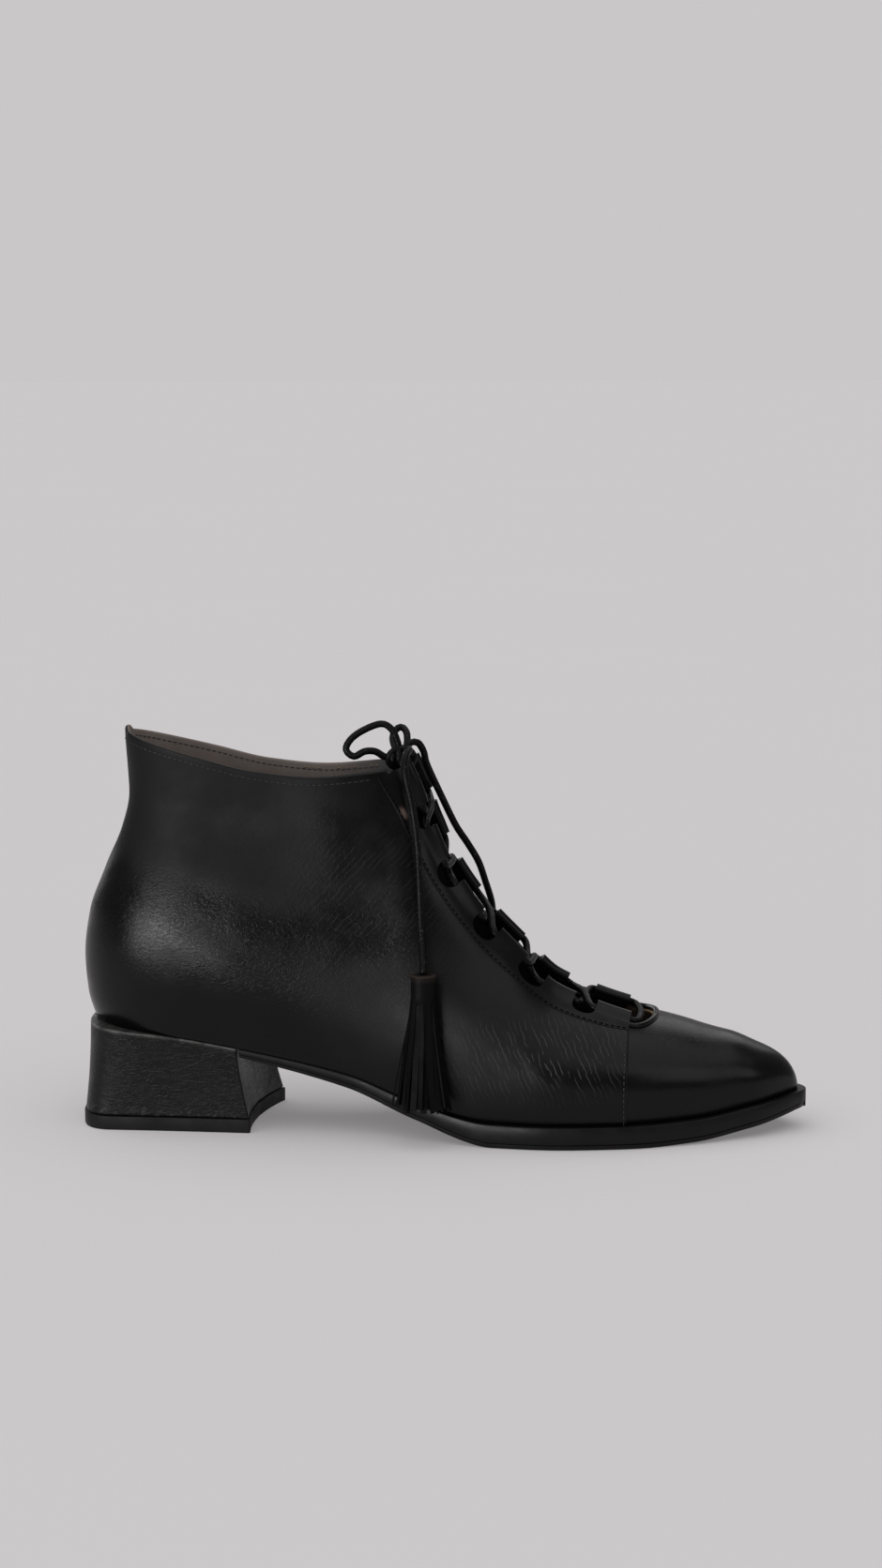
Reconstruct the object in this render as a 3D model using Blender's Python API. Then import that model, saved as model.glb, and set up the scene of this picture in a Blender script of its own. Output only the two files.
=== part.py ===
"""Right ankle boot with a pointed toe, a covered block heel and an open throat laced through leather loops.

Sizes are in millimetres, and MM turns them into metres where a mesh is made.
+X runs from the heel to the toe, +Y to the inner side of the foot, +Z up from the floor.
"""

import functools
import math

import bmesh
import bpy
import numpy as np
from mathutils import Vector

MM = 0.001

# Overall sizes
LENGTH = 274.0  # from the bulge of the heel to the tip of the sole
SEAM_STEP = 0.8  # the quarters lie this much over the toe piece
HEEL_BULGE_X = -LENGTH / 2 + SEAM_STEP
SOLE_TIP_X = LENGTH / 2
AXIS_Y = 2.2  # the foot's own axis, set so that the sole is centred on Y
GAP = 0.35  # between pieces that rest on each other
OUTER, INNER = -1, 1  # the two sides of the foot, as the sign of Y
SIDE_NAME = {OUTER: "outer", INNER: "inner"}

# Upper
WALL = 2.0  # leather and lining together
WELT = 3.2  # the sole stands out this far round the forefoot
TOE_X = SOLE_TIP_X - WELT
HEEL_ROUND = 36.0  # length over which the back of the heel comes round
TOE_ROUND = 18.0  # the same at the tip of the toe, seen from above
TOE_CROWN = 26.0  # and seen from the side
SOLID_TIP = 6.4  # length at the tip that the stiffener fills
INNER_TIP = 4.4  # and where the inside ends in a point
ARCH_POWER = 2.1  # fullness of the arch over the foot
LOW_SWELL = 0.45  # the widest place is never above this share of the arch
EVEN_OUT = 45.0  # height above it over which the two sides become alike
TAPER_TOP = 136.0  # height where the shaft is narrowest
SHAFT_TAPER = 0.28  # share of the width lost between heel and collar
TAPER_FROM_X, TAPER_TO_X = -20.0, 36.0  # the taper fades out between these
LEAN_FROM_X, LEAN_TO_X = -101.0, -30.0  # and so does the curve of the back
CROWD_FROM_X, CROWD_TO_X = -10.0, 60.0  # the rows crowd towards the top from here on
UPPER_ROWS = 12

# Throat, open down the instep, and the seam of the toe piece
THROAT_END_X = 80.5
THROAT_BEND = 10.0  # depth of the round end
SEAM_X = THROAT_END_X - THROAT_BEND
SEAM_WIDTH = 0.7

# Loops and lace
LOOPS = 6
LOOP_LENGTH = 13.0
LOOP_WIDTH = 8.2
LOOP_THICK = 5.1
LOOP_LEATHER = 0.85
LOOP_ROOM = 0.6  # between a loop and the throat's edge
LOOP_CORNERS = 12
LACE_RADIUS = 1.35
LACE_REACH = 2.4  # the lace runs this far out of a loop before it turns
LACE_CROSS = 1.6  # at a crossing each run stands this far off the middle
BAR_FORWARD = 2.0
CORD_SIDES = 2  # bevel resolution
CORD_STEP = 6.0  # spacing of the points along a cord

# Knot, bow and tassels
KNOT = (-16.0, AXIS_Y, 138.8)
KNOT_HALF = (5.4, 4.8, 4.5)
TASSEL_LENGTH = 50.0
TASSEL_STRIPS = 9
TASSEL_FLUTE = 0.16

# Sole, heel and insole
SOLE_LIP = 2.2  # height of the set-back outsole layer
LIP_SHARE = 0.4  # and its largest share of the sole's thickness
SOLE_SETBACK = 0.9
SOLE_BEVEL = 0.5
SOLE_TOE_ROUND = 20.0
BUTT = 1.0  # room between the sole's rear end and the heel's breast
TOPLIFT_HEIGHT = 5.2
TOPLIFT_EDGE = 0.5
BREAST_TOP_X, BREAST_FOOT_X = -72.6, -68.4
BREAST_TURN = math.tan(math.radians(6.8))
BREAST_HOLLOW = 3.2
BREAST_FADE = 40.0  # the sole's rear end follows the breast and runs straight from here on
HEEL_BACK_TOP_X, HEEL_BACK_FOOT_X = -134.4, -136.6
HEEL_TOP_ROUND, HEEL_FOOT_ROUND = 24.0, 14.0  # length over which its back comes round
HEEL_POWER = 2.7
HEEL_RIM = 0.9  # the block's top edge stands out of the upper by this
INSOLE_THICK = 2.5
INSOLE_ROOM = 0.6
ACROSS = 5  # points across a slab

# Fineness of the meshes and of the searches
HALVINGS = 40
ROUNDS = 20
EDGE_POINTS = 120  # places at which a throat edge is measured
MERGE = 0.01
SHARP_ANGLE = math.radians(40.0)
KNOT_AROUND, KNOT_RINGS = 12, 8


class Table:
    """Rows of sizes along the foot, read between rows with a smooth curve that never overshoots."""

    def __init__(self, columns, *rows):
        values = np.array(rows, float)
        self.place = values[:, 0]
        self.value = {name: values[:, i] for i, name in enumerate(columns)}
        self.slope = {name: self.slopes(self.value[name]) for name in columns}

    def slopes(self, value):
        """One slope a row: the harmonic mean of its two neighbours, or zero at a peak."""
        rise = np.diff(value) / np.diff(self.place)
        inner = np.zeros(len(rise) - 1)
        same = rise[:-1] * rise[1:] > 0
        inner[same] = 2 / (1 / rise[:-1][same] + 1 / rise[1:][same])
        return np.concatenate([rise[:1], inner, rise[-1:]])

    def at(self, name, x):
        value, slope = self.value[name], self.slope[name]
        x = min(max(x, self.place[0]), self.place[-1])
        i = min(int(np.searchsorted(self.place, x, side="right")) - 1, len(value) - 2)
        step = self.place[i + 1] - self.place[i]
        t = (x - self.place[i]) / step
        start = (1 - t) ** 2 * ((1 + 2 * t) * value[i] + t * step * slope[i])
        end = t * t * ((3 - 2 * t) * value[i + 1] + (t - 1) * step * slope[i + 1])
        return float(start + end)


# The last: height of its bottom edge, half widths there, and how far and how high it swells above that
FOOT = Table(
    ("x", "seat", "outer", "inner", "swell_outer", "swell_inner", "swell_up"),
    (-137.0, 40.2, 27.0, 26.5, 2.6, 2.6, 24.0),
    (-103.0, 37.4, 27.6, 26.0, 2.8, 3.0, 26.0),
    (-72.0, 32.4, 28.0, 22.5, 4.0, 5.5, 26.0),
    (-34.0, 24.0, 29.0, 19.0, 4.5, 8.0, 24.0),
    (-8.0, 14.8, 33.5, 24.5, 3.5, 6.0, 20.0),
    (20.0, 9.3, 40.3, 33.0, 2.5, 3.0, 15.0),
    (42.0, 9.0, 42.4, 38.3, 1.8, 2.0, 13.0),
    (68.0, 9.0, 39.2, 37.2, 1.5, 1.5, 11.0),
    (95.0, 9.7, 29.6, 30.0, 1.2, 1.2, 9.0),
    (116.0, 12.4, 18.8, 19.8, 1.0, 1.0, 7.0),
    (TOE_X, 15.2, 9.8, 10.4, 0.6, 0.6, 5.0),
)
# How far the back of the heel comes in from its bulge, from its foot up to the collar
BACK = Table(
    ("height", "inward"),
    (38.0, 4.4),
    (50.0, 1.0),
    (64.0, 0.0),
    (80.0, 2.0),
    (96.0, 7.8),
    (112.0, 13.8),
    (128.0, 16.5),
    (152.0, 16.2),
)
# Top edge of the shaft
COLLAR = Table(
    ("x", "height"),
    (-121.0, 148.5),
    (-107.0, 144.5),
    (-88.0, 139.8),
    (-68.0, 135.2),
    (-47.0, 133.3),
    (-27.0, 135.0),
    (-12.0, 137.5),
)
# Height of the arch over the bottom edge, which runs on upwards out of sight behind the collar's front
RIDGE = Table(
    ("x", "rise"),
    (-137.0, 420.0),
    (-60.0, 380.0),
    (-39.0, 250.0),
    (-23.5, 170.0),
    (-13.2, 140.0),
    (-7.0, 117.5),
    (0.5, 97.0),
    (12.0, 79.0),
    (27.6, 61.6),
    (42.0, 47.2),
    (58.0, 40.2),
    (71.0, 36.0),
    (90.0, 31.0),
    (107.0, 25.0),
    (120.0, 20.6),
    (TOE_X, 19.5),
)
# Where each loop starts, from the lower end of its edge of the throat
LOOP_START = {
    OUTER: (-0.6, 22.0, 46.8, 71.0, 95.6, 118.2),
    INNER: (0.6, 26.0, 50.4, 76.4, 101.8, 120.4),
}
# Half width of the throat between its straight edges
THROAT = Table(
    ("x", "half"),
    (-20.0, 16.0),
    (0.0, 17.5),
    (20.0, 18.5),
    (45.0, 19.5),
    (SEAM_X, 20.0),
)
# Thickness of the sole and how far it stands out of the upper
SOLE = Table(
    ("x", "thick", "edge"),
    (-80.0, 3.0, 0.6),
    (-34.0, 5.2, 0.8),
    (-10.0, 6.4, 1.4),
    (6.0, 8.0, 2.4),
    (22.0, 9.0, WELT),
    (80.0, 8.8, WELT),
    (116.0, 8.2, WELT),
    (SOLE_TIP_X, 7.0, WELT),
)
# Half widths of the heel where it meets the floor
HEEL = Table(
    ("x", "outer", "inner"),
    (-138.0, 24.6, 24.8),
    (-103.0, 25.3, 25.6),
    (-64.0, 26.6, 26.8),
)
# A tassel from its top down: half sizes along and across the boot, and how deep its strips part
TASSEL = Table(
    ("down", "along", "across", "parted"),
    (0.0, 3.6, 3.6, 0.0),
    (1.5, 4.8, 4.6, 0.0),
    (9.0, 4.9, 4.6, 0.0),
    (11.0, 4.4, 4.0, 0.5),
    (24.0, 6.6, 3.4, 1.0),
    (40.0, 9.6, 3.4, 1.0),
    (TASSEL_LENGTH, 11.2, 3.6, 1.0),
)
# Routes of the lace's free part, each through a few points from the knot on
BACK_LOOP = (
    (-22.3, 1.4, 139.6),
    (-25.6, 0.8, 141.6),
    (-29.6, 0.3, 141.6),
    (-33.6, 0.1, 139.7),
    (-36.6, 0.6, 142.2),
    (-34.9, 1.4, 146.0),
    (-30.2, 2.2, 149.4),
    (-23.6, 2.9, 151.8),
    (-19.6, 2.9, 149.8),
    (-17.4, 2.7, 145.2),
)
UPRIGHT_LOOP = (
    (-14.6, 7.6, 142.2),
    (-14.4, 10.6, 144.8),
    (-15.2, 14.6, 147.6),
    (-17.4, 17.4, 148.9),
    (-19.6, 16.4, 147.6),
    (-20.2, 13.4, 145.2),
    (-19.6, 10.6, 143.2),
    (-18.6, 8.2, 141.8),
)
OUTER_END = (
    (-12.6, -3.6, 142.0),
    (-12.0, -8.6, 143.6),
    (-12.8, -15.2, 141.2),
    (-12.4, -18.4, 135.0),
    (-9.6, -20.6, 122.6),
    (-7.6, -23.4, 109.0),
    (-6.6, -26.8, 95.0),
    (-5.7, -30.4, 80.0),
    (-4.9, -33.8, 71.5),
    (-4.4, -37.2, 65.0),
)
INNER_END = (
    (-12.6, 3.4, 144.6),
    (-9.8, 4.2, 144.6),
    (-7.8, 6.0, 141.0),
    (-6.6, 8.4, 135.4),
    (-1.2, 14.2, 121.8),
    (3.3, 19.0, 111.1),
    (7.8, 21.5, 103.6),
    (11.7, 23.5, 96.4),
    (14.1, 25.5, 88.8),
    (16.4, 29.0, 79.8),
    (16.4, 33.6, 72.4),
    (15.4, 37.8, 65.0),
    (14.2, 41.6, 58.2),
)
# Tops of the tassels, and how far each leans out from there to its hem
OUTER_TASSEL, OUTER_LEAN = (-4.3, -37.8, 64.2), -5.2
INNER_TASSEL, INNER_LEAN = (14.0, 42.4, 57.4), 1.2


def smoothstep(start, end, x):
    t = min(max((x - start) / (end - start), 0.0), 1.0)
    return t * t * (3 - 2 * t)


def rounded(share, power=2.0):
    """Rises from 0 to 1 as the edge of a round end does."""
    share = min(max(share, 0.0), 1.0)
    return (1 - (1 - share) ** power) ** (1 / power)


def mix(start, end, share):
    return start + (end - start) * share


def bisect(low, high, is_before):
    """The place between low and high where a test that is true at low stops being true."""
    for _ in range(HALVINGS):
        middle = (low + high) / 2
        if is_before(middle):
            low = middle
        else:
            high = middle
    return low


def back_x(z):
    return HEEL_BULGE_X + BACK.at("inward", z)


def ridge_height(x):
    return FOOT.at("seat", x) + RIDGE.at("rise", x) * rounded((TOE_X - x) / TOE_CROWN)


def half_width(side, x, z):
    """Half width of the upper at a place along the foot and a height, without the seam's step."""
    seat, crown = FOOT.at("seat", x), ridge_height(x)
    swell = FOOT.at("swell_" + SIDE_NAME[side], x)
    full = FOOT.at(SIDE_NAME[side], x) + swell
    widest = seat + min(FOOT.at("swell_up", x), LOW_SWELL * (crown - seat))
    if z <= widest:
        below = (widest - z) / max(widest - seat, GAP)
        width = full - swell * below**2
    else:
        both = sum(FOOT.at(name, x) for name in ("outer", "inner", "swell_outer", "swell_inner")) / 2
        above = min((z - widest) / max(crown - widest, GAP), 1.0)
        taper = SHAFT_TAPER * (1 - smoothstep(TAPER_FROM_X, TAPER_TO_X, x))
        width = mix(full, both, smoothstep(widest, widest + EVEN_OUT, z))
        width *= (1 - above**ARCH_POWER) ** (1 / ARCH_POWER)
        width *= 1 - taper * smoothstep(widest, TAPER_TOP, z)
    heel = rounded((x - back_x(z)) / HEEL_ROUND)
    return width * heel * rounded((TOE_X - x) / TOE_ROUND)


def throat_half(x):
    """Half width of the throat, which ends in a round bend over the toes."""
    past = min(max((x - SEAM_X) / THROAT_BEND, 0.0), 1.0)
    return THROAT.at("half", x) * math.sqrt(1 - past**2)


def throat_height(side, x):
    """Height where the arch over the foot has come in to the throat's edge."""
    low = FOOT.at("seat", x) + FOOT.at("swell_up", x)
    return bisect(low, ridge_height(x), lambda z: half_width(side, x, z) > throat_half(x))


@functools.lru_cache
def collar_corner(side):
    """Where the collar meets the throat."""
    low_point, front = COLLAR.place[-3], COLLAR.place[-1]
    return bisect(low_point, front, lambda x: half_width(side, x, COLLAR.at("height", x)) > throat_half(x))


def column_x(base, z):
    """Where a column that starts at base is at this height: the rear ones follow the back of the heel."""
    return base + BACK.at("inward", z) * (1 - smoothstep(LEAN_FROM_X, LEAN_TO_X, base))


def height_on_column(table, name, base):
    """Height where a leaning column meets a line that a table gives along the foot."""
    height = table.at(name, base)
    for _ in range(ROUNDS):
        height = table.at(name, column_x(base, height))
    return height


def top_height(side, base):
    """Height of the upper's top edge on a column: collar, throat or the ridge over the toes."""
    if base >= THROAT_END_X:
        return ridge_height(base)
    if base >= collar_corner(side):
        return throat_height(side, base)
    return height_on_column(COLLAR, "height", base)


def upper_column(side, base):
    """Points of the upper's outside on a column, from its bottom edge to its top edge."""
    low, high = height_on_column(FOOT, "seat", base), top_height(side, base)
    crowd = smoothstep(CROWD_FROM_X, CROWD_TO_X, base)
    points = []
    for i in range(UPPER_ROWS):
        share = i / (UPPER_ROWS - 1)
        z = mix(low, high, mix(share, math.sin(share * math.pi / 2), crowd))
        x = column_x(base, z)
        width = half_width(side, x, z)
        if share == 1.0 and base >= SEAM_X:
            width = throat_half(base)
        points.append(Vector((x, side * width + AXIS_Y, z)))
    return points


def spaced(start, end, count, ease="none"):
    """Places from start up to end, closer together at an eased end. The end itself is left out."""
    easing = {
        "none": lambda t: t,
        "start": lambda t: 1 - math.cos(math.pi * t / 2),
        "end": lambda t: math.sin(math.pi * t / 2),
    }
    return [mix(start, end, easing[ease](i / count)) for i in range(count)]


def upper_bases(side):
    """Places of the upper's columns on one side, from the back seam to the tip of the toe."""
    heel_end = HEEL_BULGE_X + HEEL_ROUND
    corner = collar_corner(side)
    return [
        *spaced(HEEL_BULGE_X, heel_end, 7, "start"),
        *spaced(heel_end, corner, 7),
        *spaced(corner, SEAM_X - SEAM_WIDTH, 10),
        SEAM_X - SEAM_WIDTH,
        *spaced(SEAM_X, THROAT_END_X, 4, "end"),
        *spaced(THROAT_END_X, TOE_X - TOE_ROUND, 5),
        *spaced(TOE_X - TOE_ROUND, TOE_X, 7, "end"),
        TOE_X,
    ]


def flat(vector):
    """The same direction, level with the floor."""
    return Vector((vector.x, vector.y, 0.0)).normalized()


@functools.lru_cache
def upper_skins():
    """The upper's columns from the outer side of the toe round the heel to the inner side, outside and inside."""
    bases = [*reversed(upper_bases(OUTER)), *upper_bases(INNER)[1:]]
    sides = [OUTER] * len(upper_bases(OUTER)) + [INNER] * (len(upper_bases(INNER)) - 1)
    skin = bmesh.new()
    verts = [[skin.verts.new(p) for p in upper_column(s, b)] for s, b in zip(sides, bases)]
    for line, following in zip(verts, verts[1:]):
        for i in range(UPPER_ROWS - 1):
            skin.faces.new((line[i], line[i + 1], following[i + 1], following[i]))
    skin.normal_update()
    tip = Vector((TOE_X - INNER_TIP, AXIS_Y, FOOT.at("seat", TOE_X)))
    outside, inside = [], []
    for base, side, line in zip(bases, sides, verts):
        normals = [v.normal.copy() for v in line]
        normals[0] = flat(normals[0])
        if base >= THROAT_END_X:
            slope = ridge_height(base + GAP) - ridge_height(base - GAP)
            normals[-1] = Vector((-slope, 0.0, 2 * GAP)).normalized()
        step = SEAM_STEP if base < SEAM_X else 0.0
        outside.append([v.co + n * step for v, n in zip(line, normals)])
        solid = base > TOE_X - SOLID_TIP
        inside.append([tip if solid else v.co - n * WALL for v, n in zip(line, normals)])
    skin.free()
    return bases, outside, inside


def make_object(name, mesh, material):
    obj = bpy.data.objects.new(name, mesh)
    bpy.context.scene.collection.objects.link(obj)
    mesh.materials.clear()
    mesh.materials.append(material)
    return obj


def mesh_from(name, rows, closing=(), left_out=()):
    """A closed mesh in metres: faces between neighbouring rows of points, apart from those left out, and the
    closing faces, both given by (row, column). Points that coincide are merged, and collapsed faces dropped."""
    shape = bmesh.new()
    verts = [[shape.verts.new(Vector(p) * MM) for p in row] for row in rows]
    for i, (row, following) in enumerate(zip(verts, verts[1:])):
        for j in range(len(row) - 1):
            if (i, j) not in left_out:
                shape.faces.new((row[j], row[j + 1], following[j + 1], following[j]))
    for face in closing:
        shape.faces.new([verts[i][j] for i, j in face])
    bmesh.ops.remove_doubles(shape, verts=shape.verts, dist=MERGE * MM)
    bmesh.ops.recalc_face_normals(shape, faces=shape.faces)
    mesh = bpy.data.meshes.new(name)
    shape.to_mesh(mesh)
    shape.free()
    mesh.shade_smooth()
    mesh.set_sharp_from_angle(angle=SHARP_ANGLE)
    return mesh


def build_upper(material):
    """One wall over the whole foot: open at the collar, down the throat and underneath."""
    bases, outside, inside = upper_skins()
    top = UPPER_ROWS - 1
    rows = [[*out, *reversed(back), out[0].copy()] for out, back in zip(outside, inside)]
    over_toes = {(i, top) for i, pair in enumerate(zip(bases, bases[1:])) if min(pair) >= THROAT_END_X}
    return make_object("upper", mesh_from("upper", rows, left_out=over_toes), material)


def slab(name, rings, material, capped_start=False, capped_end=True):
    """A solid through rings, closed across its ends where they don't run to a point. A ring runs across the
    top from the outer to the inner side, down the steps of that side, back underneath and up the other side."""
    sides = (len(rings[0]) - 2 * ACROSS - 1) // 2
    closing = []
    for index, capped in ((0, capped_start), (len(rings) - 1, capped_end)):
        if not capped:
            continue
        for j in range(ACROSS - 1):
            below = 2 * ACROSS + sides - 1 - j
            face = [(index, j), (index, j + 1), (index, below - 1), (index, below)]
            if j == 0:
                face += [(index, below + 1 + k) for k in range(sides)]
            if j == ACROSS - 2:
                face[2:2] = [(index, ACROSS + k) for k in range(sides)]
            closing.append(tuple(face))
    return make_object(name, mesh_from(name, rings, closing), material)


def breast_bend(half, share):
    """How the heel's breast departs from a straight line across: turned, and hollow in the middle."""
    return lambda y: share * (BREAST_TURN * y + BREAST_HOLLOW * (((y - AXIS_Y) / half) ** 2 - 1))


def heel_rings(widths, back, front, extra, corner, level):
    """Points across the heel at one level, from its back to its breast: half widths from a table and some
    extra, a back that comes round over the length of a corner, and a height for each place along the foot."""
    rings = []
    for share in [*spaced(0.0, 0.5, 7, "start"), *spaced(0.5, 1.0, 4), 1.0]:
        x = mix(back, front, share)
        fullness = rounded((x - back) / corner, HEEL_POWER)
        outer, inner = (AXIS_Y + s * (widths.at(SIDE_NAME[s], x) + extra) * fullness for s in (OUTER, INNER))
        bend = breast_bend(widths.at("outer", front), share**3)
        rings.append([Vector((x + bend(y), y, level(x + bend(y)))) for y in across_points(outer, inner)])
    return rings


def across_points(outer, inner):
    return [mix(outer, inner, j / (ACROSS - 1)) for j in range(ACROSS)]


def between_levels(name, tops, feet, material):
    """A solid between two levels that have the same points across."""
    rings = [[*top, *reversed(foot), top[0].copy()] for top, foot in zip(tops, feet)]
    return slab(name, rings, material)


def build_heel(material):
    """The covered block, from the seat under the upper down to the top-lift."""
    tops = heel_rings(FOOT, HEEL_BACK_TOP_X, BREAST_TOP_X, HEEL_RIM, HEEL_TOP_ROUND, sole_top)
    foot = TOPLIFT_HEIGHT + GAP
    feet = heel_rings(HEEL, HEEL_BACK_FOOT_X, BREAST_FOOT_X, 0.0, HEEL_FOOT_ROUND, lambda x: foot)
    return between_levels("heel_block", tops, feet, material)


def build_top_lift(material):
    """The rubber piece that the heel stands on."""
    back, front = HEEL_BACK_FOOT_X - TOPLIFT_EDGE, BREAST_FOOT_X + TOPLIFT_EDGE
    tops, feet = (
        heel_rings(HEEL, back, front, TOPLIFT_EDGE, HEEL_FOOT_ROUND, lambda x, z=z: z)
        for z in (TOPLIFT_HEIGHT, 0.0)
    )
    return between_levels("top_lift", tops, feet, material)


def sole_half(side, x):
    return (FOOT.at(SIDE_NAME[side], x) + SOLE.at("edge", x)) * rounded((SOLE_TIP_X - x) / SOLE_TOE_ROUND)


def sole_top(x):
    return FOOT.at("seat", x) - GAP


def sole_bottom(x):
    return max(sole_top(x) - SOLE.at("thick", x), 0.0)


def build_outsole(material):
    """From the heel's breast to the toe: arch, toe spring, and a lower layer that is set back."""
    start, toe = BREAST_TOP_X + BUTT, SOLE_TIP_X - SOLE_TOE_ROUND
    rings = []
    for x in [*spaced(start, toe, 22), *spaced(toe, SOLE_TIP_X, 8, "end"), SOLE_TIP_X]:
        outer, inner = sole_half(OUTER, x), sole_half(INNER, x)
        bend = breast_bend(FOOT.at("outer", start), 1 - smoothstep(start, start + BREAST_FADE, x))
        lip = min(SOLE_LIP / (sole_top(x) - sole_bottom(x)), LIP_SHARE)
        set_in = min(outer, inner, SOLE_SETBACK + SOLE_BEVEL)
        ledge = set_in * SOLE_SETBACK / (SOLE_SETBACK + SOLE_BEVEL)
        rings.append(sole_ring(x, AXIS_Y - outer, AXIS_Y + inner, bend, lip, ledge, set_in))
    return slab("outsole", rings, material, capped_start=True, capped_end=False)


def sole_ring(x, outer, inner, bend, lip, ledge, set_in):
    """A ring of the sole: at the lip's share of its thickness its side steps in by the ledge, and its underside
    is set in a little more. All heights follow the bend."""
    def point(y, share):
        moved = x + bend(y)
        return Vector((moved, y, mix(sole_bottom(moved), sole_top(moved), share)))

    over = [point(y, 1.0) for y in across_points(outer, inner)]
    under = [point(y, 0.0) for y in across_points(outer + set_in, inner - set_in)]
    down = [point(inner, lip), point(inner - ledge, lip)]
    up = [point(outer + ledge, lip), point(outer, lip)]
    return [*over, *down, *reversed(under), *up, over[0].copy()]


def build_insole(material):
    """Fills the upper's open bottom, inside the wall."""
    bases, outside, inside = upper_skins()
    edges = [back[0] + flat(back[0] - out[0]) * INSOLE_ROOM for out, back in zip(outside, inside)]
    heel = bases.index(HEEL_BULGE_X)
    tops, feet = [], []
    for base, outer, inner in zip(bases[heel:], reversed(edges[: heel + 1]), edges[heel:]):
        if base > TOE_X - SOLID_TIP:
            break
        line = [outer.lerp(inner, j / (ACROSS - 1)) for j in range(ACROSS)]
        feet.append([Vector((p.x, p.y, FOOT.at("seat", p.x) + GAP)) for p in line])
        tops.append([p + Vector((0.0, 0.0, INSOLE_THICK)) for p in feet[-1]])
    return between_levels("insole", tops, feet, material)


def throat_frame(side, x):
    """Point on the throat's edge, with the directions up along it, across to the middle and out of the leather."""
    def edge(at):
        return Vector((at, side * throat_half(at) + AXIS_Y, throat_height(side, at)))

    here = edge(x)
    along = (edge(x - 1.0) - edge(x + 1.0)).normalized()
    below = throat_height(side, x) - 1.0
    lower = Vector((x, side * half_width(side, x, below) + AXIS_Y, below))
    across = here - lower
    across = (across - along * across.dot(along)).normalized()
    out = along.cross(across) * side
    return here, along, across, out


@functools.lru_cache
def throat_line(side):
    """Places along the throat's edge with their distance from its lower end."""
    xs = np.linspace(SEAM_X - SEAM_WIDTH, collar_corner(side), EDGE_POINTS)
    points = [Vector((x, throat_half(x), throat_height(side, x))) for x in xs]
    distance = [0.0]
    for a, b in zip(points, points[1:]):
        distance.append(distance[-1] + (b - a).length)
    return xs, distance


def loop_axis(side, number):
    """Middle of a loop, its half length as a vector, and the directions across and out of the leather."""
    xs, distance = throat_line(side)
    middle = LOOP_START[side][number] + LOOP_LENGTH / 2
    here, along, across, out = throat_frame(side, float(np.interp(middle, distance, xs)))
    return here + across * (LOOP_WIDTH / 2 + LOOP_ROOM), along * (LOOP_LENGTH / 2), across, out


def stadium(width, thick):
    """Points of a flat ring with round ends, as (across, out)."""
    points = []
    for i in range(LOOP_CORNERS):
        angle = 2 * math.pi * (i + 0.5) / LOOP_CORNERS
        shift = math.copysign((width - thick) / 2, math.cos(angle))
        points.append((shift + math.cos(angle) * thick / 2, math.sin(angle) * thick / 2))
    return points


def build_loop(side, number, material):
    """A strip of leather folded over into a flat tube, open at both ends for the lace."""
    middle, half, across, out = loop_axis(side, number)
    rings = []
    hole = (LOOP_WIDTH - 2 * LOOP_LEATHER, LOOP_THICK - 2 * LOOP_LEATHER)
    skins = (((LOOP_WIDTH, LOOP_THICK), -1), ((LOOP_WIDTH, LOOP_THICK), 1), (hole, 1), (hole, -1))
    for size, end in [*skins, skins[0]]:
        ring = [middle + half * end + across * a + out * b for a, b in stadium(*size)]
        rings.append([*ring, ring[0].copy()])
    name = f"lace_loop_{SIDE_NAME[side]}_{number + 1}"
    return make_object(name, mesh_from(name, rings), material)


def lace_run(side):
    """Turning points of the lace from the lowest loop of a side up to the knot, crossing at every loop."""
    points = []
    over = -side * LACE_CROSS
    for number in range(LOOPS):
        middle, half, _, out = loop_axis(side, number)
        reach = half * (1 + LACE_REACH / half.length)
        if points:
            lift = Vector((out.x, 0.0, out.z)).normalized() * over
            points.append((points[-1] + middle - reach) / 2 + lift)
        points += [middle - reach, middle, middle + reach]
        side = -side
    end = Vector(KNOT) - points[-1]
    room = Vector([e / h for e, h in zip(end, KNOT_HALF)]).length
    points.append(Vector(KNOT) - end * (1 + GAP / 2) / room)
    return points


def build_lace(material):
    """One cord from the knot down through the loops, across the bottom bar and up again."""
    first, second = lace_run(OUTER), lace_run(INNER)
    bar = (first[0] + second[0]) / 2 + Vector((BAR_FORWARD, 0.0, 0.0))
    route = [*reversed(first), bar, *second]
    return cord_object("lace", route, material)


def smooth_route(points, step):
    """Points about one step apart on a smooth curve through hand-chosen ones."""
    route = [Vector(p) for p in points]
    padded = [2 * route[0] - route[1], *route, 2 * route[-1] - route[-2]]
    found = []
    for before, a, b, after in zip(padded, padded[1:], padded[2:], padded[3:]):
        count = max(round((b - a).length / step), 1)
        for i in range(count):
            t = i / count
            bend = (2 * before - 5 * a + 4 * b - after) * t**2 + (3 * a - before - 3 * b + after) * t**3
            found.append((2 * a + (b - before) * t + bend) / 2)
    return [*found, route[-1]]


def cord_object(name, points, material):
    """A round cord with closed ends through points given in millimetres."""
    curve = bpy.data.curves.new(name, "CURVE")
    curve.dimensions = "3D"
    curve.bevel_depth = LACE_RADIUS * MM
    curve.bevel_resolution = CORD_SIDES
    curve.use_fill_caps = True
    spline = curve.splines.new("POLY")
    spline.points.add(len(points) - 1)
    for point, place in zip(spline.points, points):
        point.co = (*(Vector(place) * MM), 1.0)
    return make_object(name, curve, material)


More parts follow.
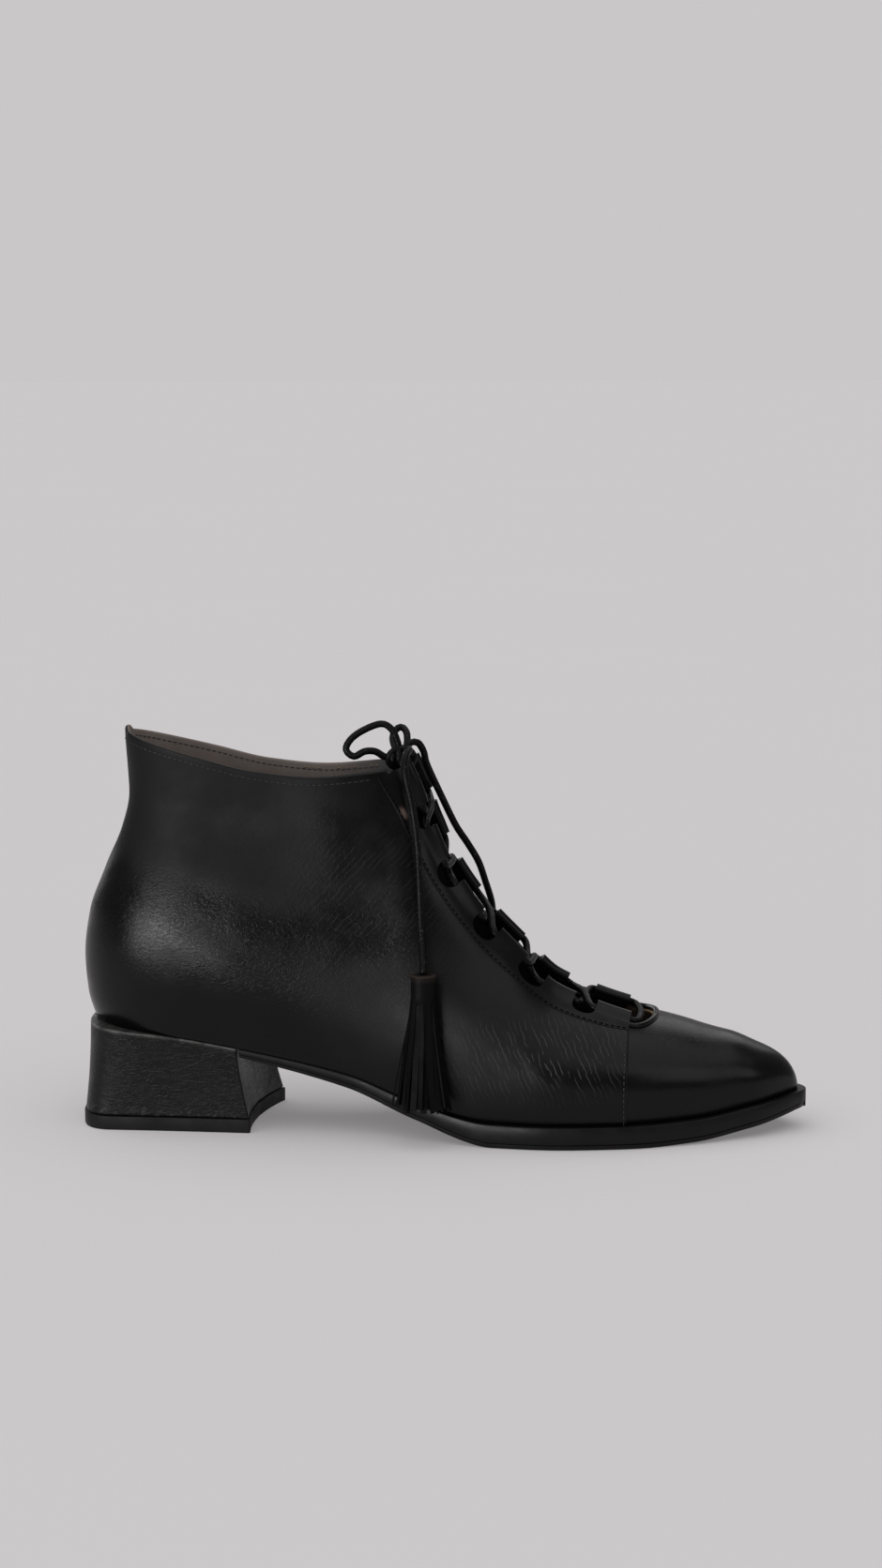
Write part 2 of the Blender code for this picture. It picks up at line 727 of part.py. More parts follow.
def build_knot(material):
    """The knot as a round lump."""
    shape = bmesh.new()
    bmesh.ops.create_uvsphere(shape, u_segments=KNOT_AROUND, v_segments=KNOT_RINGS, radius=1.0)
    for vert in shape.verts:
        vert.co = Vector([(c + h * v) * MM for c, h, v in zip(KNOT, KNOT_HALF, vert.co)])
    mesh = bpy.data.meshes.new("lace_knot")
    shape.to_mesh(mesh)
    shape.free()
    mesh.shade_smooth()
    return make_object("lace_knot", mesh, material)


def build_tassel(name, top, lean, material):
    """A bound head and a skirt of strips, hanging down from top and leaning out by lean."""
    rings = []
    for down in TASSEL.place:
        along, across, parted = (TASSEL.at(c, down) for c in ("along", "across", "parted"))
        ring = []
        for i in range(2 * TASSEL_STRIPS):
            angle = math.pi * i / TASSEL_STRIPS
            share = 1 - TASSEL_FLUTE * parted * (i % 2)
            offset = Vector((math.cos(angle) * along, math.sin(angle) * across, 0.0)) * share
            ring.append(Vector(top) + offset + Vector((0.0, lean * down / TASSEL_LENGTH, -down)))
        rings.append([*ring, ring[0].copy()])
    for end, down in ((0, 0.0), (len(rings), TASSEL_LENGTH)):
        middle = Vector(top) + Vector((0.0, lean * down / TASSEL_LENGTH, -down))
        rings.insert(end + (end > 0), [middle.copy() for _ in rings[0]])
    return make_object(name, mesh_from(name, rings), material)


def clear_scene():
    for obj in list(bpy.data.objects):
        bpy.data.objects.remove(obj, do_unlink=True)


def finish(name, colour, roughness, metallic=0.0):
    material = bpy.data.materials.new(name)
    material.use_nodes = True
    shader = material.node_tree.nodes["Principled BSDF"]
    shader.inputs["Base Color"].default_value = (*colour, 1.0)
    shader.inputs["Roughness"].default_value = roughness
    shader.inputs["Metallic"].default_value = metallic
    return material


def main():
    clear_scene()
    upper_leather = finish("upper_leather", (0.016, 0.016, 0.017), 0.42)
    heel_leather = finish("heel_leather", (0.018, 0.018, 0.019), 0.40)
    sole_edge = finish("sole_edge", (0.012, 0.012, 0.012), 0.35)
    rubber = finish("rubber", (0.010, 0.010, 0.010), 0.75)
    insole_leather = finish("insole_leather", (0.19, 0.16, 0.14), 0.70)
    waxed_cord = finish("waxed_cord", (0.012, 0.012, 0.012), 0.38)
    tassel_leather = finish("tassel_leather", (0.014, 0.014, 0.015), 0.55)
    build_upper(upper_leather)
    build_outsole(sole_edge)
    build_heel(heel_leather)
    build_top_lift(rubber)
    build_insole(insole_leather)
    for number in range(LOOPS):
        build_loop(OUTER, number, upper_leather)
        build_loop(INNER, number, upper_leather)
    build_lace(waxed_cord)
    build_knot(waxed_cord)
    cord_object("bow_loop_back", smooth_route(BACK_LOOP, CORD_STEP / 2), waxed_cord)
    cord_object("bow_loop_upright", smooth_route(UPRIGHT_LOOP, CORD_STEP / 2), waxed_cord)
    cord_object("lace_end_outer", smooth_route(OUTER_END, CORD_STEP), waxed_cord)
    cord_object("lace_end_inner", smooth_route(INNER_END, CORD_STEP), waxed_cord)
    build_tassel("tassel_outer", OUTER_TASSEL, OUTER_LEAN, tassel_leather)
    build_tassel("tassel_inner", INNER_TASSEL, INNER_LEAN, tassel_leather)


main()
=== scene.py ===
"""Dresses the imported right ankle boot: pointed toe, block heel, throat laced through folded leather loops.

Sizes are in millimetres, and MM turns them into metres where a mesh is made.
+X runs from the heel to the toe, +Y to the inner side of the foot, +Z up from the floor.
"""

import logging
import math
from dataclasses import dataclass, field, replace
from enum import Enum
from typing import Callable, Sequence

import bmesh
import bpy
import numpy as np
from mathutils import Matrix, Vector


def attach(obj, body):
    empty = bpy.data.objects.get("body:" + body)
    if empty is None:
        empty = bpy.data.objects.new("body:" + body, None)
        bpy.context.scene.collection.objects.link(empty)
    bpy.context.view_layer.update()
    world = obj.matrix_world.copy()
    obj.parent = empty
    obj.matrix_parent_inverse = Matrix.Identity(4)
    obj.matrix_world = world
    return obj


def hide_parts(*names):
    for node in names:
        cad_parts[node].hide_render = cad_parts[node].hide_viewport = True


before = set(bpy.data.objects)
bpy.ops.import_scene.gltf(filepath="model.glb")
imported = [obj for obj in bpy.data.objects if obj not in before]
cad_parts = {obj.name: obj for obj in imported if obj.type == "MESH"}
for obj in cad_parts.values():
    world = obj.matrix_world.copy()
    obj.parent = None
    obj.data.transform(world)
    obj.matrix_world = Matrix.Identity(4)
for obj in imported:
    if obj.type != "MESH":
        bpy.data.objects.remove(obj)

log = logging.getLogger("boot")
Array = np.ndarray
Pair = tuple[float, float]
Point = tuple[float, float, float]
MM = 0.001
AXIS_Y = 2.2  # the foot's own axis
BODY = "root"


class Side(Enum):
    """The two sides of the foot, as the sign of Y."""

    OUTER = -1
    INNER = 1

    @property
    def word(self) -> str:
        """The side's name, as the tables and the nodes spell it."""
        return self.name.lower()


class Ease(Enum):
    """Which end of a run of places is crowded."""

    NONE = "none"
    START = "start"
    END = "end"


def smoothstep(start: float, end: float, x: Array | float) -> Array:
    """Rises smoothly from 0 at start to 1 at end."""
    t = np.clip((np.asarray(x, float) - start) / (end - start), 0.0, 1.0)
    return t * t * (3 - 2 * t)


def rounded(share: Array | float, power: float = 2.0) -> Array:
    """Rises from 0 to 1 as the edge of a round end does."""
    share = np.clip(np.asarray(share, float), 0.0, 1.0)
    return (1 - (1 - share) ** power) ** (1 / power)


def mix(start: Array | float, end: Array | float, share: Array | float) -> Array | float:
    """The place at a share of the way from start to end."""
    return start + (end - start) * share


def unit(vectors: Array) -> Array:
    """The same directions with length one."""
    return vectors / np.maximum(np.linalg.norm(vectors, axis=-1, keepdims=True), 1e-9)


def spaced(start: float, end: float, count: int, ease: Ease = Ease.NONE) -> Array:
    """Places from start up to end, without the end itself.

    Args:
        start: first place.
        end: where the run stops.
        count: how many places.
        ease: the end at which they crowd.

    Returns:
        The places in order.
    """
    t = np.arange(count) / count
    if ease is Ease.START:
        t = 1 - np.cos(np.pi * t / 2)
    elif ease is Ease.END:
        t = np.sin(np.pi * t / 2)
    return mix(start, end, t)


def bisect(low: Array, high: Array, is_before: Callable[[Array], Array], halvings: int = 36) -> Array:
    """The places between low and high where a test that is true at low stops being true."""
    low, high = np.array(low, float), np.array(high, float)
    for _ in range(halvings):
        middle = (low + high) / 2
        before = is_before(middle)
        low, high = np.where(before, middle, low), np.where(before, high, middle)
    return low


class Profile:
    """Sizes in named columns along one axis, read between rows with a smooth curve that never overshoots."""

    def __init__(self, columns: Sequence[str], *rows: Sequence[float]) -> None:
        """Keeps the rows and works out a slope for each.

        Args:
            columns: names of the columns, the first being the place.
            rows: one row of numbers for each place.
        """
        values = np.array(rows, float)
        self.place = values[:, 0]
        self.value = {name: values[:, i] for i, name in enumerate(columns)}
        self.slope = {name: self._slopes(self.value[name]) for name in columns}

    def _slopes(self, value: Array) -> Array:
        """One slope a row: the harmonic mean of its neighbours, or zero at a peak."""
        rise = np.diff(value) / np.diff(self.place)
        inner = np.zeros(len(rise) - 1)
        same = rise[:-1] * rise[1:] > 0
        inner[same] = 2 / (1 / rise[:-1][same] + 1 / rise[1:][same])
        return np.concatenate([rise[:1], inner, rise[-1:]])

    def at(self, name: str, x: Array | float) -> Array:
        """Reads a column.

        Args:
            name: the column.
            x: one place or several.

        Returns:
            The column's size at each place.
        """
        value, slope = self.value[name], self.slope[name]
        x = np.clip(np.asarray(x, float), self.place[0], self.place[-1])
        i = np.clip(np.searchsorted(self.place, x, side="right") - 1, 0, len(value) - 2)
        step = self.place[i + 1] - self.place[i]
        t = (x - self.place[i]) / step
        start = (1 - t) ** 2 * ((1 + 2 * t) * value[i] + t * step * slope[i])
        end = t * t * ((3 - 2 * t) * value[i + 1] + (t - 1) * step * slope[i + 1])
        return start + end


WELT = 3.2
SOLE_TIP_X = 137.0
TOE_X = SOLE_TIP_X - WELT
THROAT_END_X = 80.5
THROAT_BEND = 10.0
SEAM_X = THROAT_END_X - THROAT_BEND

# The last: height of its bottom edge, half widths there, and how far and how high it swells above that
FOOT = Profile(
    ("x", "seat", "outer", "inner", "swell_outer", "swell_inner", "swell_up"),
    (-137.0, 40.2, 27.0, 26.5, 2.6, 2.6, 24.0),
    (-103.0, 37.4, 27.6, 26.0, 2.8, 3.0, 26.0),
    (-72.0, 32.4, 28.0, 22.5, 4.0, 5.5, 26.0),
    (-34.0, 24.0, 29.0, 19.0, 4.5, 8.0, 24.0),
    (-8.0, 14.8, 33.5, 24.5, 3.5, 6.0, 20.0),
    (20.0, 9.3, 40.3, 33.0, 2.5, 3.0, 15.0),
    (42.0, 9.0, 42.4, 38.3, 1.8, 2.0, 13.0),
    (68.0, 9.0, 39.2, 37.2, 1.5, 1.5, 11.0),
    (95.0, 9.7, 29.6, 30.0, 1.2, 1.2, 9.0),
    (116.0, 12.4, 18.8, 19.8, 1.0, 1.0, 7.0),
    (TOE_X, 15.2, 9.8, 10.4, 0.6, 0.6, 5.0),
)
# How far the back of the heel comes in from its bulge
BACK = Profile(
    ("height", "inward"),
    (38.0, 4.4),
    (50.0, 1.0),
    (64.0, 0.0),
    (80.0, 2.0),
    (96.0, 7.8),
    (112.0, 13.8),
    (128.0, 16.5),
    (152.0, 16.2),
)
# Top edge of the shaft
COLLAR = Profile(
    ("x", "height"),
    (-121.0, 148.5),
    (-107.0, 144.5),
    (-88.0, 139.8),
    (-68.0, 135.2),
    (-47.0, 133.3),
    (-27.0, 135.0),
    (-12.0, 137.5),
)
# Height of the arch over the bottom edge
RIDGE = Profile(
    ("x", "rise"),
    (-137.0, 420.0),
    (-60.0, 380.0),
    (-39.0, 250.0),
    (-23.5, 170.0),
    (-13.2, 140.0),
    (-7.0, 117.5),
    (0.5, 97.0),
    (12.0, 79.0),
    (27.6, 61.6),
    (42.0, 47.2),
    (58.0, 40.2),
    (71.0, 36.0),
    (90.0, 31.0),
    (107.0, 25.0),
    (120.0, 20.6),
    (TOE_X, 19.5),
)
# Half width of the throat
THROAT = Profile(
    ("x", "half"),
    (-20.0, 16.0),
    (0.0, 17.5),
    (20.0, 18.5),
    (45.0, 19.5),
    (SEAM_X, 20.0),
)
# Thickness of the sole and how far it stands out of the upper
SOLE = Profile(
    ("x", "thick", "edge"),
    (-80.0, 3.0, 0.6),
    (-34.0, 5.2, 0.8),
    (-10.0, 6.4, 1.4),
    (6.0, 8.0, 2.4),
    (22.0, 9.0, WELT),
    (80.0, 8.8, WELT),
    (116.0, 8.2, WELT),
    (SOLE_TIP_X, 7.0, WELT),
)
# Along the throat's edge: how far the notches cut into the quarter, and where the facing is sewn down
NOTCHES = Profile(
    ("along", "depth", "row"),
    (-2.0, 1.6, 3.4),
    (8.0, 3.0, 6.4),
    (19.0, 4.2, 8.0),
    (30.0, 5.6, 8.6),
    (43.0, 6.8, 10.0),
    (55.0, 6.0, 8.8),
    (66.0, 4.9, 7.2),
    (78.0, 3.6, 5.8),
    (91.0, 2.4, 4.8),
    (114.0, 1.0, 4.8),
    (136.0, 1.0, 5.8),
)
# How far the shaft's sides draw in under the collar
SHAFT = Profile(
    ("height", "drawn"),
    (86.0, 0.0),
    (98.0, 0.12),
    (118.0, 1.3),
    (122.0, 1.4),
    (127.0, 1.2),
    (146.0, 0.2),
)
# Half widths of the heel on the floor
HEEL = Profile(
    ("x", "outer", "inner"),
    (-138.0, 24.6, 24.8),
    (-103.0, 25.3, 25.6),
    (-64.0, 26.6, 26.8),
)


@dataclass(frozen=True)
class Last:
    """The form that the leather is drawn over, with the solids' own sizes."""

    bulge_x: float = -136.2
    heel_round: float = 36.0
    toe_round: float = 18.0
    toe_crown: float = 26.0
    arch_power: float = 2.1
    low_swell: float = 0.45
    even_out: float = 45.0
    taper_top: float = 136.0
    shaft_taper: float = 0.28
    taper_x: Pair = (-20.0, 36.0)
    lean_x: Pair = (-101.0, -30.0)
    room: float = 0.35

    def back_x(self, z: Array) -> Array:
        """Where the back of the heel is at a height."""
        return self.bulge_x + BACK.at("inward", z)

    def ridge(self, x: Array) -> Array:
        """Height of the ridge over the foot."""
        return FOOT.at("seat", x) + RIDGE.at("rise", x) * rounded((TOE_X - np.asarray(x)) / self.toe_crown)

    def half_width(self, side: Side, x: Array, z: Array) -> Array:
        """Half width of the last at places along the foot and heights.

        Args:
            side: which side of the foot.
            x: places along the foot.
            z: heights, of the same shape.

        Returns:
            The distance from the foot's axis to the surface.
        """
        seat, crown = FOOT.at("seat", x), self.ridge(x)
        swell = FOOT.at("swell_" + side.word, x)
        full = FOOT.at(side.word, x) + swell
        widest = seat + np.minimum(FOOT.at("swell_up", x), self.low_swell * (crown - seat))
        below = (widest - z) / np.maximum(widest - seat, self.room)
        low_part = full - swell * below**2
        both = sum(FOOT.at(name, x) for name in ("outer", "inner", "swell_outer", "swell_inner")) / 2
        above = np.clip((z - widest) / np.maximum(crown - widest, self.room), 0.0, 1.0)
        taper = self.shaft_taper * (1 - smoothstep(*self.taper_x, x))
        rise = np.clip((z - widest) / self.even_out, 0.0, 1.0)
        high_part = mix(full, both, rise * rise * (3 - 2 * rise))
        high_part = high_part * (1 - above**self.arch_power) ** (1 / self.arch_power)
        climb = np.clip((z - widest) / (self.taper_top - widest), 0.0, 1.0)
        high_part = high_part * (1 - taper * climb * climb * (3 - 2 * climb))
        width = np.where(z <= widest, low_part, high_part)
        heel = rounded((x - self.back_x(z)) / self.heel_round)
        return width * heel * rounded((TOE_X - np.asarray(x)) / self.toe_round)

    def point(self, side: Side, x: Array, z: Array) -> Array:
        """Points on the last at places along the foot and heights."""
        x, z = np.broadcast_arrays(np.asarray(x, float), np.asarray(z, float))
        return np.stack([x, side.value * self.half_width(side, x, z) + AXIS_Y, z], -1)

    def normal(self, side: Side, x: Array, z: Array, step: float = 0.2) -> Array:
        """Directions out of the last at places along the foot and heights."""
        slope_x = (self.half_width(side, x + step, z) - self.half_width(side, x - step, z)) / (2 * step)
        slope_z = (self.half_width(side, x, z + step) - self.half_width(side, x, z - step)) / (2 * step)
        return unit(np.stack([-slope_x, np.full(np.shape(slope_x), float(side.value)), -slope_z], -1))

    def throat_half(self, x: Array) -> Array:
        """Half width of the throat, which ends in a round bend over the toes."""
        past = np.clip((np.asarray(x, float) - SEAM_X) / THROAT_BEND, 0.0, 1.0)
        return THROAT.at("half", x) * np.sqrt(1 - past**2)

    def throat_height(self, side: Side, x: Array) -> Array:
        """Height where the arch over the foot has come in to the throat's edge."""
        low = FOOT.at("seat", x) + FOOT.at("swell_up", x)
        target = self.throat_half(x)
        return bisect(low, self.ridge(x), lambda z: self.half_width(side, x, z) > target)

    def throat_edge(self, side: Side, x: Array) -> Array:
        """Points on the throat's edge."""
        return np.stack([x, side.value * self.throat_half(x) + AXIS_Y, self.throat_height(side, x)], -1)

    def column_x(self, base: Array, z: Array) -> Array:
        """Where a column that starts at base is at a height: the rear ones follow the back of the heel."""
        return base + BACK.at("inward", z) * (1 - smoothstep(*self.lean_x, base))

    def height_on_column(self, table: Profile, name: str, base: Array, rounds: int = 20) -> Array:
        """Height where leaning columns meet a line that a table gives along the foot."""
        height = table.at(name, base)
        for _ in range(rounds):
            height = table.at(name, self.column_x(base, height))
        return height


LAST = Last()


# Finishes

NodeTree = bpy.types.NodeTree
Socket = bpy.types.NodeSocket
Colour = Point
BAND = 2 * math.pi / 20  # width of one band of a wave pattern at scale one
CLOUD = (0.3, 0.7)  # where nearly all of a cloudy pattern lies
FULL = (0.0, 1.0)


class Recipe:
    """A material's node tree while it is being put together."""

    def __init__(self, name: str) -> None:
        """Starts a material with a Principled shader."""
        self.material = bpy.data.materials.new(name)
        self.material.use_nodes = True
        self.tree: NodeTree = self.material.node_tree
        self.shader = self.tree.nodes["Principled BSDF"]

    def node(self, kind: str, **settings: object) -> bpy.types.Node:
        """Adds a node.

        Args:
            kind: the node's type.
            settings: its properties.

        Returns:
            The node.
        """
        made = self.tree.nodes.new(kind)
        for name, value in settings.items():
            setattr(made, name, value)
        return made

    def put(self, target: Socket, value: object) -> None:
        """Links a socket to a target, or sets the target to a plain value."""
        if isinstance(value, bpy.types.NodeSocket):
            self.tree.links.new(value, target)
        else:
            target.default_value = value

    def place(self) -> Socket:
        """Object coordinates."""
        return self.node("ShaderNodeTexCoord").outputs["Object"]

    def uv(self) -> Socket:
        """The piece's own map."""
        return self.node("ShaderNodeTexCoord").outputs["UV"]

    def stretched(self, vector: Socket, scale: Sequence[float], turn: Sequence[float] = (0, 0, 0)) -> Socket:
        """Coordinates scaled and turned."""
        mapping = self.node("ShaderNodeMapping")
        self.put(mapping.inputs["Vector"], vector)
        mapping.inputs["Scale"].default_value = scale
        mapping.inputs["Rotation"].default_value = turn
        return mapping.outputs["Vector"]

    def laid(self, vector: Socket, cell: Sequence[float], turn: float) -> Socket:
        """Coordinates in cells of some millimetres, turned by degrees in the side view."""
        mapping = self.node("ShaderNodeMapping", vector_type="TEXTURE")
        self.put(mapping.inputs["Vector"], vector)
        mapping.inputs["Scale"].default_value = [size * MM for size in cell]
        mapping.inputs["Rotation"].default_value = (0.0, math.radians(turn), 0.0)
        return mapping.outputs["Vector"]

    def warped(self, vector: Socket, scale: float, reach: float) -> Socket:
        """Coordinates that wander by some millimetres."""
        cloud = self.node("ShaderNodeTexNoise")
        self.put(cloud.inputs["Vector"], vector)
        cloud.inputs["Scale"].default_value = scale
        moved = self.node("ShaderNodeVectorMath", operation="MULTIPLY_ADD")
        self.put(moved.inputs[0], cloud.outputs["Color"])
        moved.inputs[1].default_value = [reach * MM] * 3
        self.put(moved.inputs[2], vector)
        return moved.outputs["Vector"]

    def noise(
        self, vector: Socket, scale: float, detail: float = 3.0, rough: float = 0.55, bend: float = 0.0
    ) -> Socket:
        """A cloudy pattern from 0 to 1."""
        made = self.node("ShaderNodeTexNoise")
        self.put(made.inputs["Vector"], vector)
        for name, value in (("Scale", scale), ("Detail", detail), ("Roughness", rough), ("Distortion", bend)):
            made.inputs[name].default_value = value
        return made.outputs["Fac"]

    def ridged(self, vector: Socket, detail: float, rough: float, bend: float, wide: float) -> Socket:
        """Thin veins: 0 where a cloudy pattern passes its middle, and 1 away from there."""
        middle = self.maths("SUBTRACT", self.noise(vector, 1.0, detail, rough, bend), 0.5)
        return self.ranged(self.maths("ABSOLUTE", middle, 0.0), (0.0, wide), FULL)

    def waves(self, vector: Socket, scale: float, bend: float, wide: float = 1.0) -> Socket:
        """Bands from 0 to 1 across X, bent by a cloud that is finer where wide is larger."""
        made = self.node("ShaderNodeTexWave")
        self.put(made.inputs["Vector"], vector)
        for name, value in (("Scale", scale), ("Distortion", bend), ("Detail", 2.0), ("Detail Scale", wide)):
            made.inputs[name].default_value = value
        return made.outputs["Fac"]

    def attribute(self, name: str) -> Socket:
        """A number kept on the mesh's points."""
        return self.node("ShaderNodeAttribute", attribute_name=name).outputs["Fac"]

    def ranged(self, value: Socket, old: Pair, new: Pair) -> Socket:
        """A pattern moved from one range to another, smoothly and without leaving it."""
        made = self.node("ShaderNodeMapRange", interpolation_type="SMOOTHSTEP")
        self.put(made.inputs["Value"], value)
        names = ("From Min", "From Max", "To Min", "To Max")
        for name, number in zip(names, (*old, *new)):
            made.inputs[name].default_value = number
        return made.outputs["Result"]

    def maths(self, operation: str, first: object, second: object) -> Socket:
        """Two patterns or numbers put together."""
        made = self.node("ShaderNodeMath", operation=operation)
        self.put(made.inputs[0], first)
        self.put(made.inputs[1], second)
        return made.outputs["Value"]

    def blended(self, share: Socket, first: object, second: object) -> Socket:
        """Two colours mixed by a pattern."""
        made = self.node("ShaderNodeMix", data_type="RGBA")
        self.put(made.inputs["Factor"], share)
        for name, value in (("A", first), ("B", second)):
            socket = next(s for s in made.inputs if s.name == name and s.type == "RGBA")
            self.put(socket, (*value, 1.0) if isinstance(value, tuple) else value)
        return next(s for s in made.outputs if s.type == "RGBA")

    def bumped(self, height: Socket, depth: float, strength: float, under: Socket | None = None) -> Socket:
        """A relief of some millimetres' depth, over another one."""
        made = self.node("ShaderNodeBump")
        self.put(made.inputs["Height"], height)
        made.inputs["Distance"].default_value = depth * MM
        made.inputs["Strength"].default_value = strength
        if under is not None:
            self.put(made.inputs["Normal"], under)
        return made.outputs["Normal"]

    def dress(self, **sockets: object) -> bpy.types.Material:
        """Sets the shader's sockets by name, underscores standing for spaces, and hands the material over."""
        for name, value in sockets.items():
            value = (*value, 1.0) if isinstance(value, tuple) and len(value) == 3 else value
            self.put(self.shader.inputs[name.replace("_", " ")], value)
        return self.material


@dataclass(frozen=True)
class UpperLeather:
    """Smooth black calf: a fine swirling grain, and broken crease lines with a painted highlight on them."""

    name: str = "upper_leather"
    colour: Colour = (0.0022, 0.0022, 0.0023)
    dusty: Colour = (0.0044, 0.0043, 0.0043)
    # painted highlight: the lighter colour of the crease lines, where they catch the light
    creased: Colour = (0.06, 0.058, 0.057)
    bare: Colour = (0.16, 0.115, 0.095)
    gloss: Pair = (0.22, 0.34)
    matte: float = 0.3  # rougher by this where it isn't polished
    ripple_cell: Point = (1.6, 1.6, 1.05)
    ripple_turn: float = -14.0
    ripple_depth: float = 0.05
    pore_depth: float = 0.03
    fan_pitch: float = 1.9
    fan_turn: float = -24.0
    slant_pitch: float = 2.1
    slant_turn: float = 42.0
    line_depth: float = 0.085
    specular: float = 0.19

    def lines(self, r: Recipe, pitch: float, turn: float, mask: str) -> Socket:
        """Broken crease lines.

        Args:
            r: the material being made.
            pitch: from one line to the next.
            turn: how far the lines lean from upright, in degrees.
            mask: the attribute that says where they are.

        Returns:
            One on a line and zero elsewhere.
        """
        place = r.warped(r.place(), 200.0, 2.2)
        across = r.laid(place, (1000.0, 1000.0, 1800.0), turn)
        line = r.ranged(r.waves(across, BAND / (pitch * MM), 3.2, 0.9), (0.92, 1.0), FULL)
        pieces = r.noise(r.laid(r.place(), (3.0, 5.0, 6.0), turn), 1.0, 2.0)
        broken = r.ranged(pieces, (0.41, 0.54), FULL)
        return r.maths("MULTIPLY", r.maths("MULTIPLY", line, broken), r.attribute(mask))

    def material(self) -> bpy.types.Material:
        """Makes the material."""
        r = Recipe(self.name)
        place = r.place()
        swirl = r.laid(r.warped(place, 110.0, 3.0), self.ripple_cell, self.ripple_turn)
        ripple = r.ridged(swirl, 1.5, 0.5, 0.8, 0.13)
        grain = r.maths("MULTIPLY", ripple, r.attribute("grain"))
        fan = self.lines(r, self.fan_pitch, self.fan_turn, "fan")
        slant = self.lines(r, self.slant_pitch, self.slant_turn, "slant")
        both = r.maths("MAXIMUM", fan, slant)
        normal = r.bumped(r.noise(place, 1500.0, 2.0), self.pore_depth, 0.35)
        normal = r.bumped(grain, self.ripple_depth, 0.6, normal)
        normal = r.bumped(both, self.line_depth, 0.5, normal)
        base = r.blended(r.noise(place, 22.0, 4.0), self.colour, self.dusty)
        # painted highlight along the crease lines
        base = r.blended(both, base, self.creased)
        base = r.blended(r.attribute("worn"), base, self.bare)
        polish = r.ranged(r.noise(place, 60.0, 4.0), CLOUD, self.gloss)
        roughness = r.maths("ADD", polish, r.maths("MULTIPLY", r.attribute("matte"), self.matte))
        return r.dress(Base_Color=base, Roughness=roughness, Normal=normal, Specular_IOR_Level=self.specular)


@dataclass(frozen=True)
class HeelLeather:
    """The same calf drawn over the block, more wrinkled, with a painted highlight along its top rim."""

    name: str = "heel_leather"
    colour: Colour = (0.003, 0.003, 0.0031)
    dusty: Colour = (0.0065, 0.0063, 0.0062)
    worn: Colour = (0.13, 0.127, 0.122)
    # painted highlight along the block's rounded top rim, where it catches the light from above
    edge: Colour = (0.2, 0.196, 0.19)
    gloss: Pair = (0.36, 0.5)
    wrinkle_cell: Point = (5.0, 5.0, 2.0)
    wrinkle_turn: float = 4.0
    wrinkle_depth: float = 0.16
    pore_depth: float = 0.05
    specular: float = 0.2

    def material(self) -> bpy.types.Material:
        """Makes the material."""
        r = Recipe(self.name)
        place = r.place()
        veins = r.ridged(r.laid(place, self.wrinkle_cell, self.wrinkle_turn), 3.0, 0.55, 1.0, 0.12)
        normal = r.bumped(veins, self.wrinkle_depth, 0.55)
        normal = r.bumped(r.noise(place, 1300.0, 2.0), self.pore_depth, 0.35, normal)
        base = r.blended(r.noise(place, 45.0, 4.0), self.colour, self.dusty)
        flecks = r.ranged(r.noise(place, 420.0, 4.0, 0.7), (0.5, 0.68), FULL)
        base = r.blended(r.maths("MULTIPLY", r.attribute("worn"), flecks), base, self.worn)
        # painted highlight along the top rim, broken into patches
        patchy = r.ranged(r.noise(place, 120.0, 3.0), (0.35, 0.6), (0.25, 1.0))
        base = r.blended(r.maths("MULTIPLY", r.attribute("rim"), patchy), base, self.edge)
        roughness = r.ranged(r.noise(place, 90.0, 3.0), CLOUD, self.gloss)
        return r.dress(Base_Color=base, Roughness=roughness, Normal=normal, Specular_IOR_Level=self.specular)


@dataclass(frozen=True)
class Finish:
    """A plain finish: two colours in a cloudy mix, an uneven gloss and a fine relief.

    The patterns mottle, sheen and tooth are each a scale and a detail, and mottle may have a roughness too.
    """

    name: str
    colour: Colour
    second: Colour
    mottle: tuple[float, ...]
    sheen: Pair
    gloss: Pair
    tooth: Pair
    relief: Pair  # depth in millimetres, and strength
    specular: float = 0.5
    drawn: Point = (1.0, 1.0, 1.0)  # scale of the relief's pattern along each axis
    drawn_mottle: bool = False  # the colours are stretched in the same way
    mark: str = ""  # attribute that blends the colours into a third one
    marked: Colour = (0.0, 0.0, 0.0)

    def material(self) -> bpy.types.Material:
        """Makes the material."""
        r = Recipe(self.name)
        place = r.place()
        drawn = r.stretched(place, self.drawn)
        spots = r.noise(drawn if self.drawn_mottle else place, *self.mottle)
        base = r.blended(spots, self.colour, self.second)
        if self.mark:
            base = r.blended(r.attribute(self.mark), base, self.marked)
        roughness = r.ranged(r.noise(place, *self.sheen), CLOUD, self.gloss)
        normal = r.bumped(r.noise(drawn, *self.tooth), *self.relief)
        return r.dress(Base_Color=base, Roughness=roughness, Normal=normal, Specular_IOR_Level=self.specular)


# Painted and polished, with faint lines along the edge
SOLE_EDGE = Finish(
    name="sole_edge",
    colour=(0.003, 0.003, 0.003),
    second=(0.007, 0.007, 0.007),
    mottle=(80.0, 4.0),
    sheen=(120.0, 4.0),
    gloss=(0.3, 0.46),
    tooth=(700.0, 3.0),
    relief=(0.06, 0.35),
    specular=0.2,
    drawn=(0.12, 0.12, 1.0),
)
RUBBER = Finish(
    name="rubber",
    colour=(0.004, 0.004, 0.004),
    second=(0.01, 0.0098, 0.0095),
    mottle=(140.0, 5.0),
    sheen=(90.0, 3.0),
    gloss=(0.55, 0.75),
    tooth=(1800.0, 2.0),
    relief=(0.06, 0.5),
    specular=0.22,
)
# Grey-brown leather with a soft nap, darker towards the toes as painted shade deep inside the boot
LINING = Finish(
    name="insole_leather",
    colour=(0.15, 0.118, 0.103),
    second=(0.235, 0.192, 0.172),
    mottle=(130.0, 5.0, 0.65),
    sheen=(60.0, 3.0),
    gloss=(0.62, 0.78),
    tooth=(1100.0, 3.0),
    relief=(0.08, 0.5),
    # painted shade inside the boot, under the throat
    mark="forward",
    marked=(0.012, 0.01, 0.009),
)
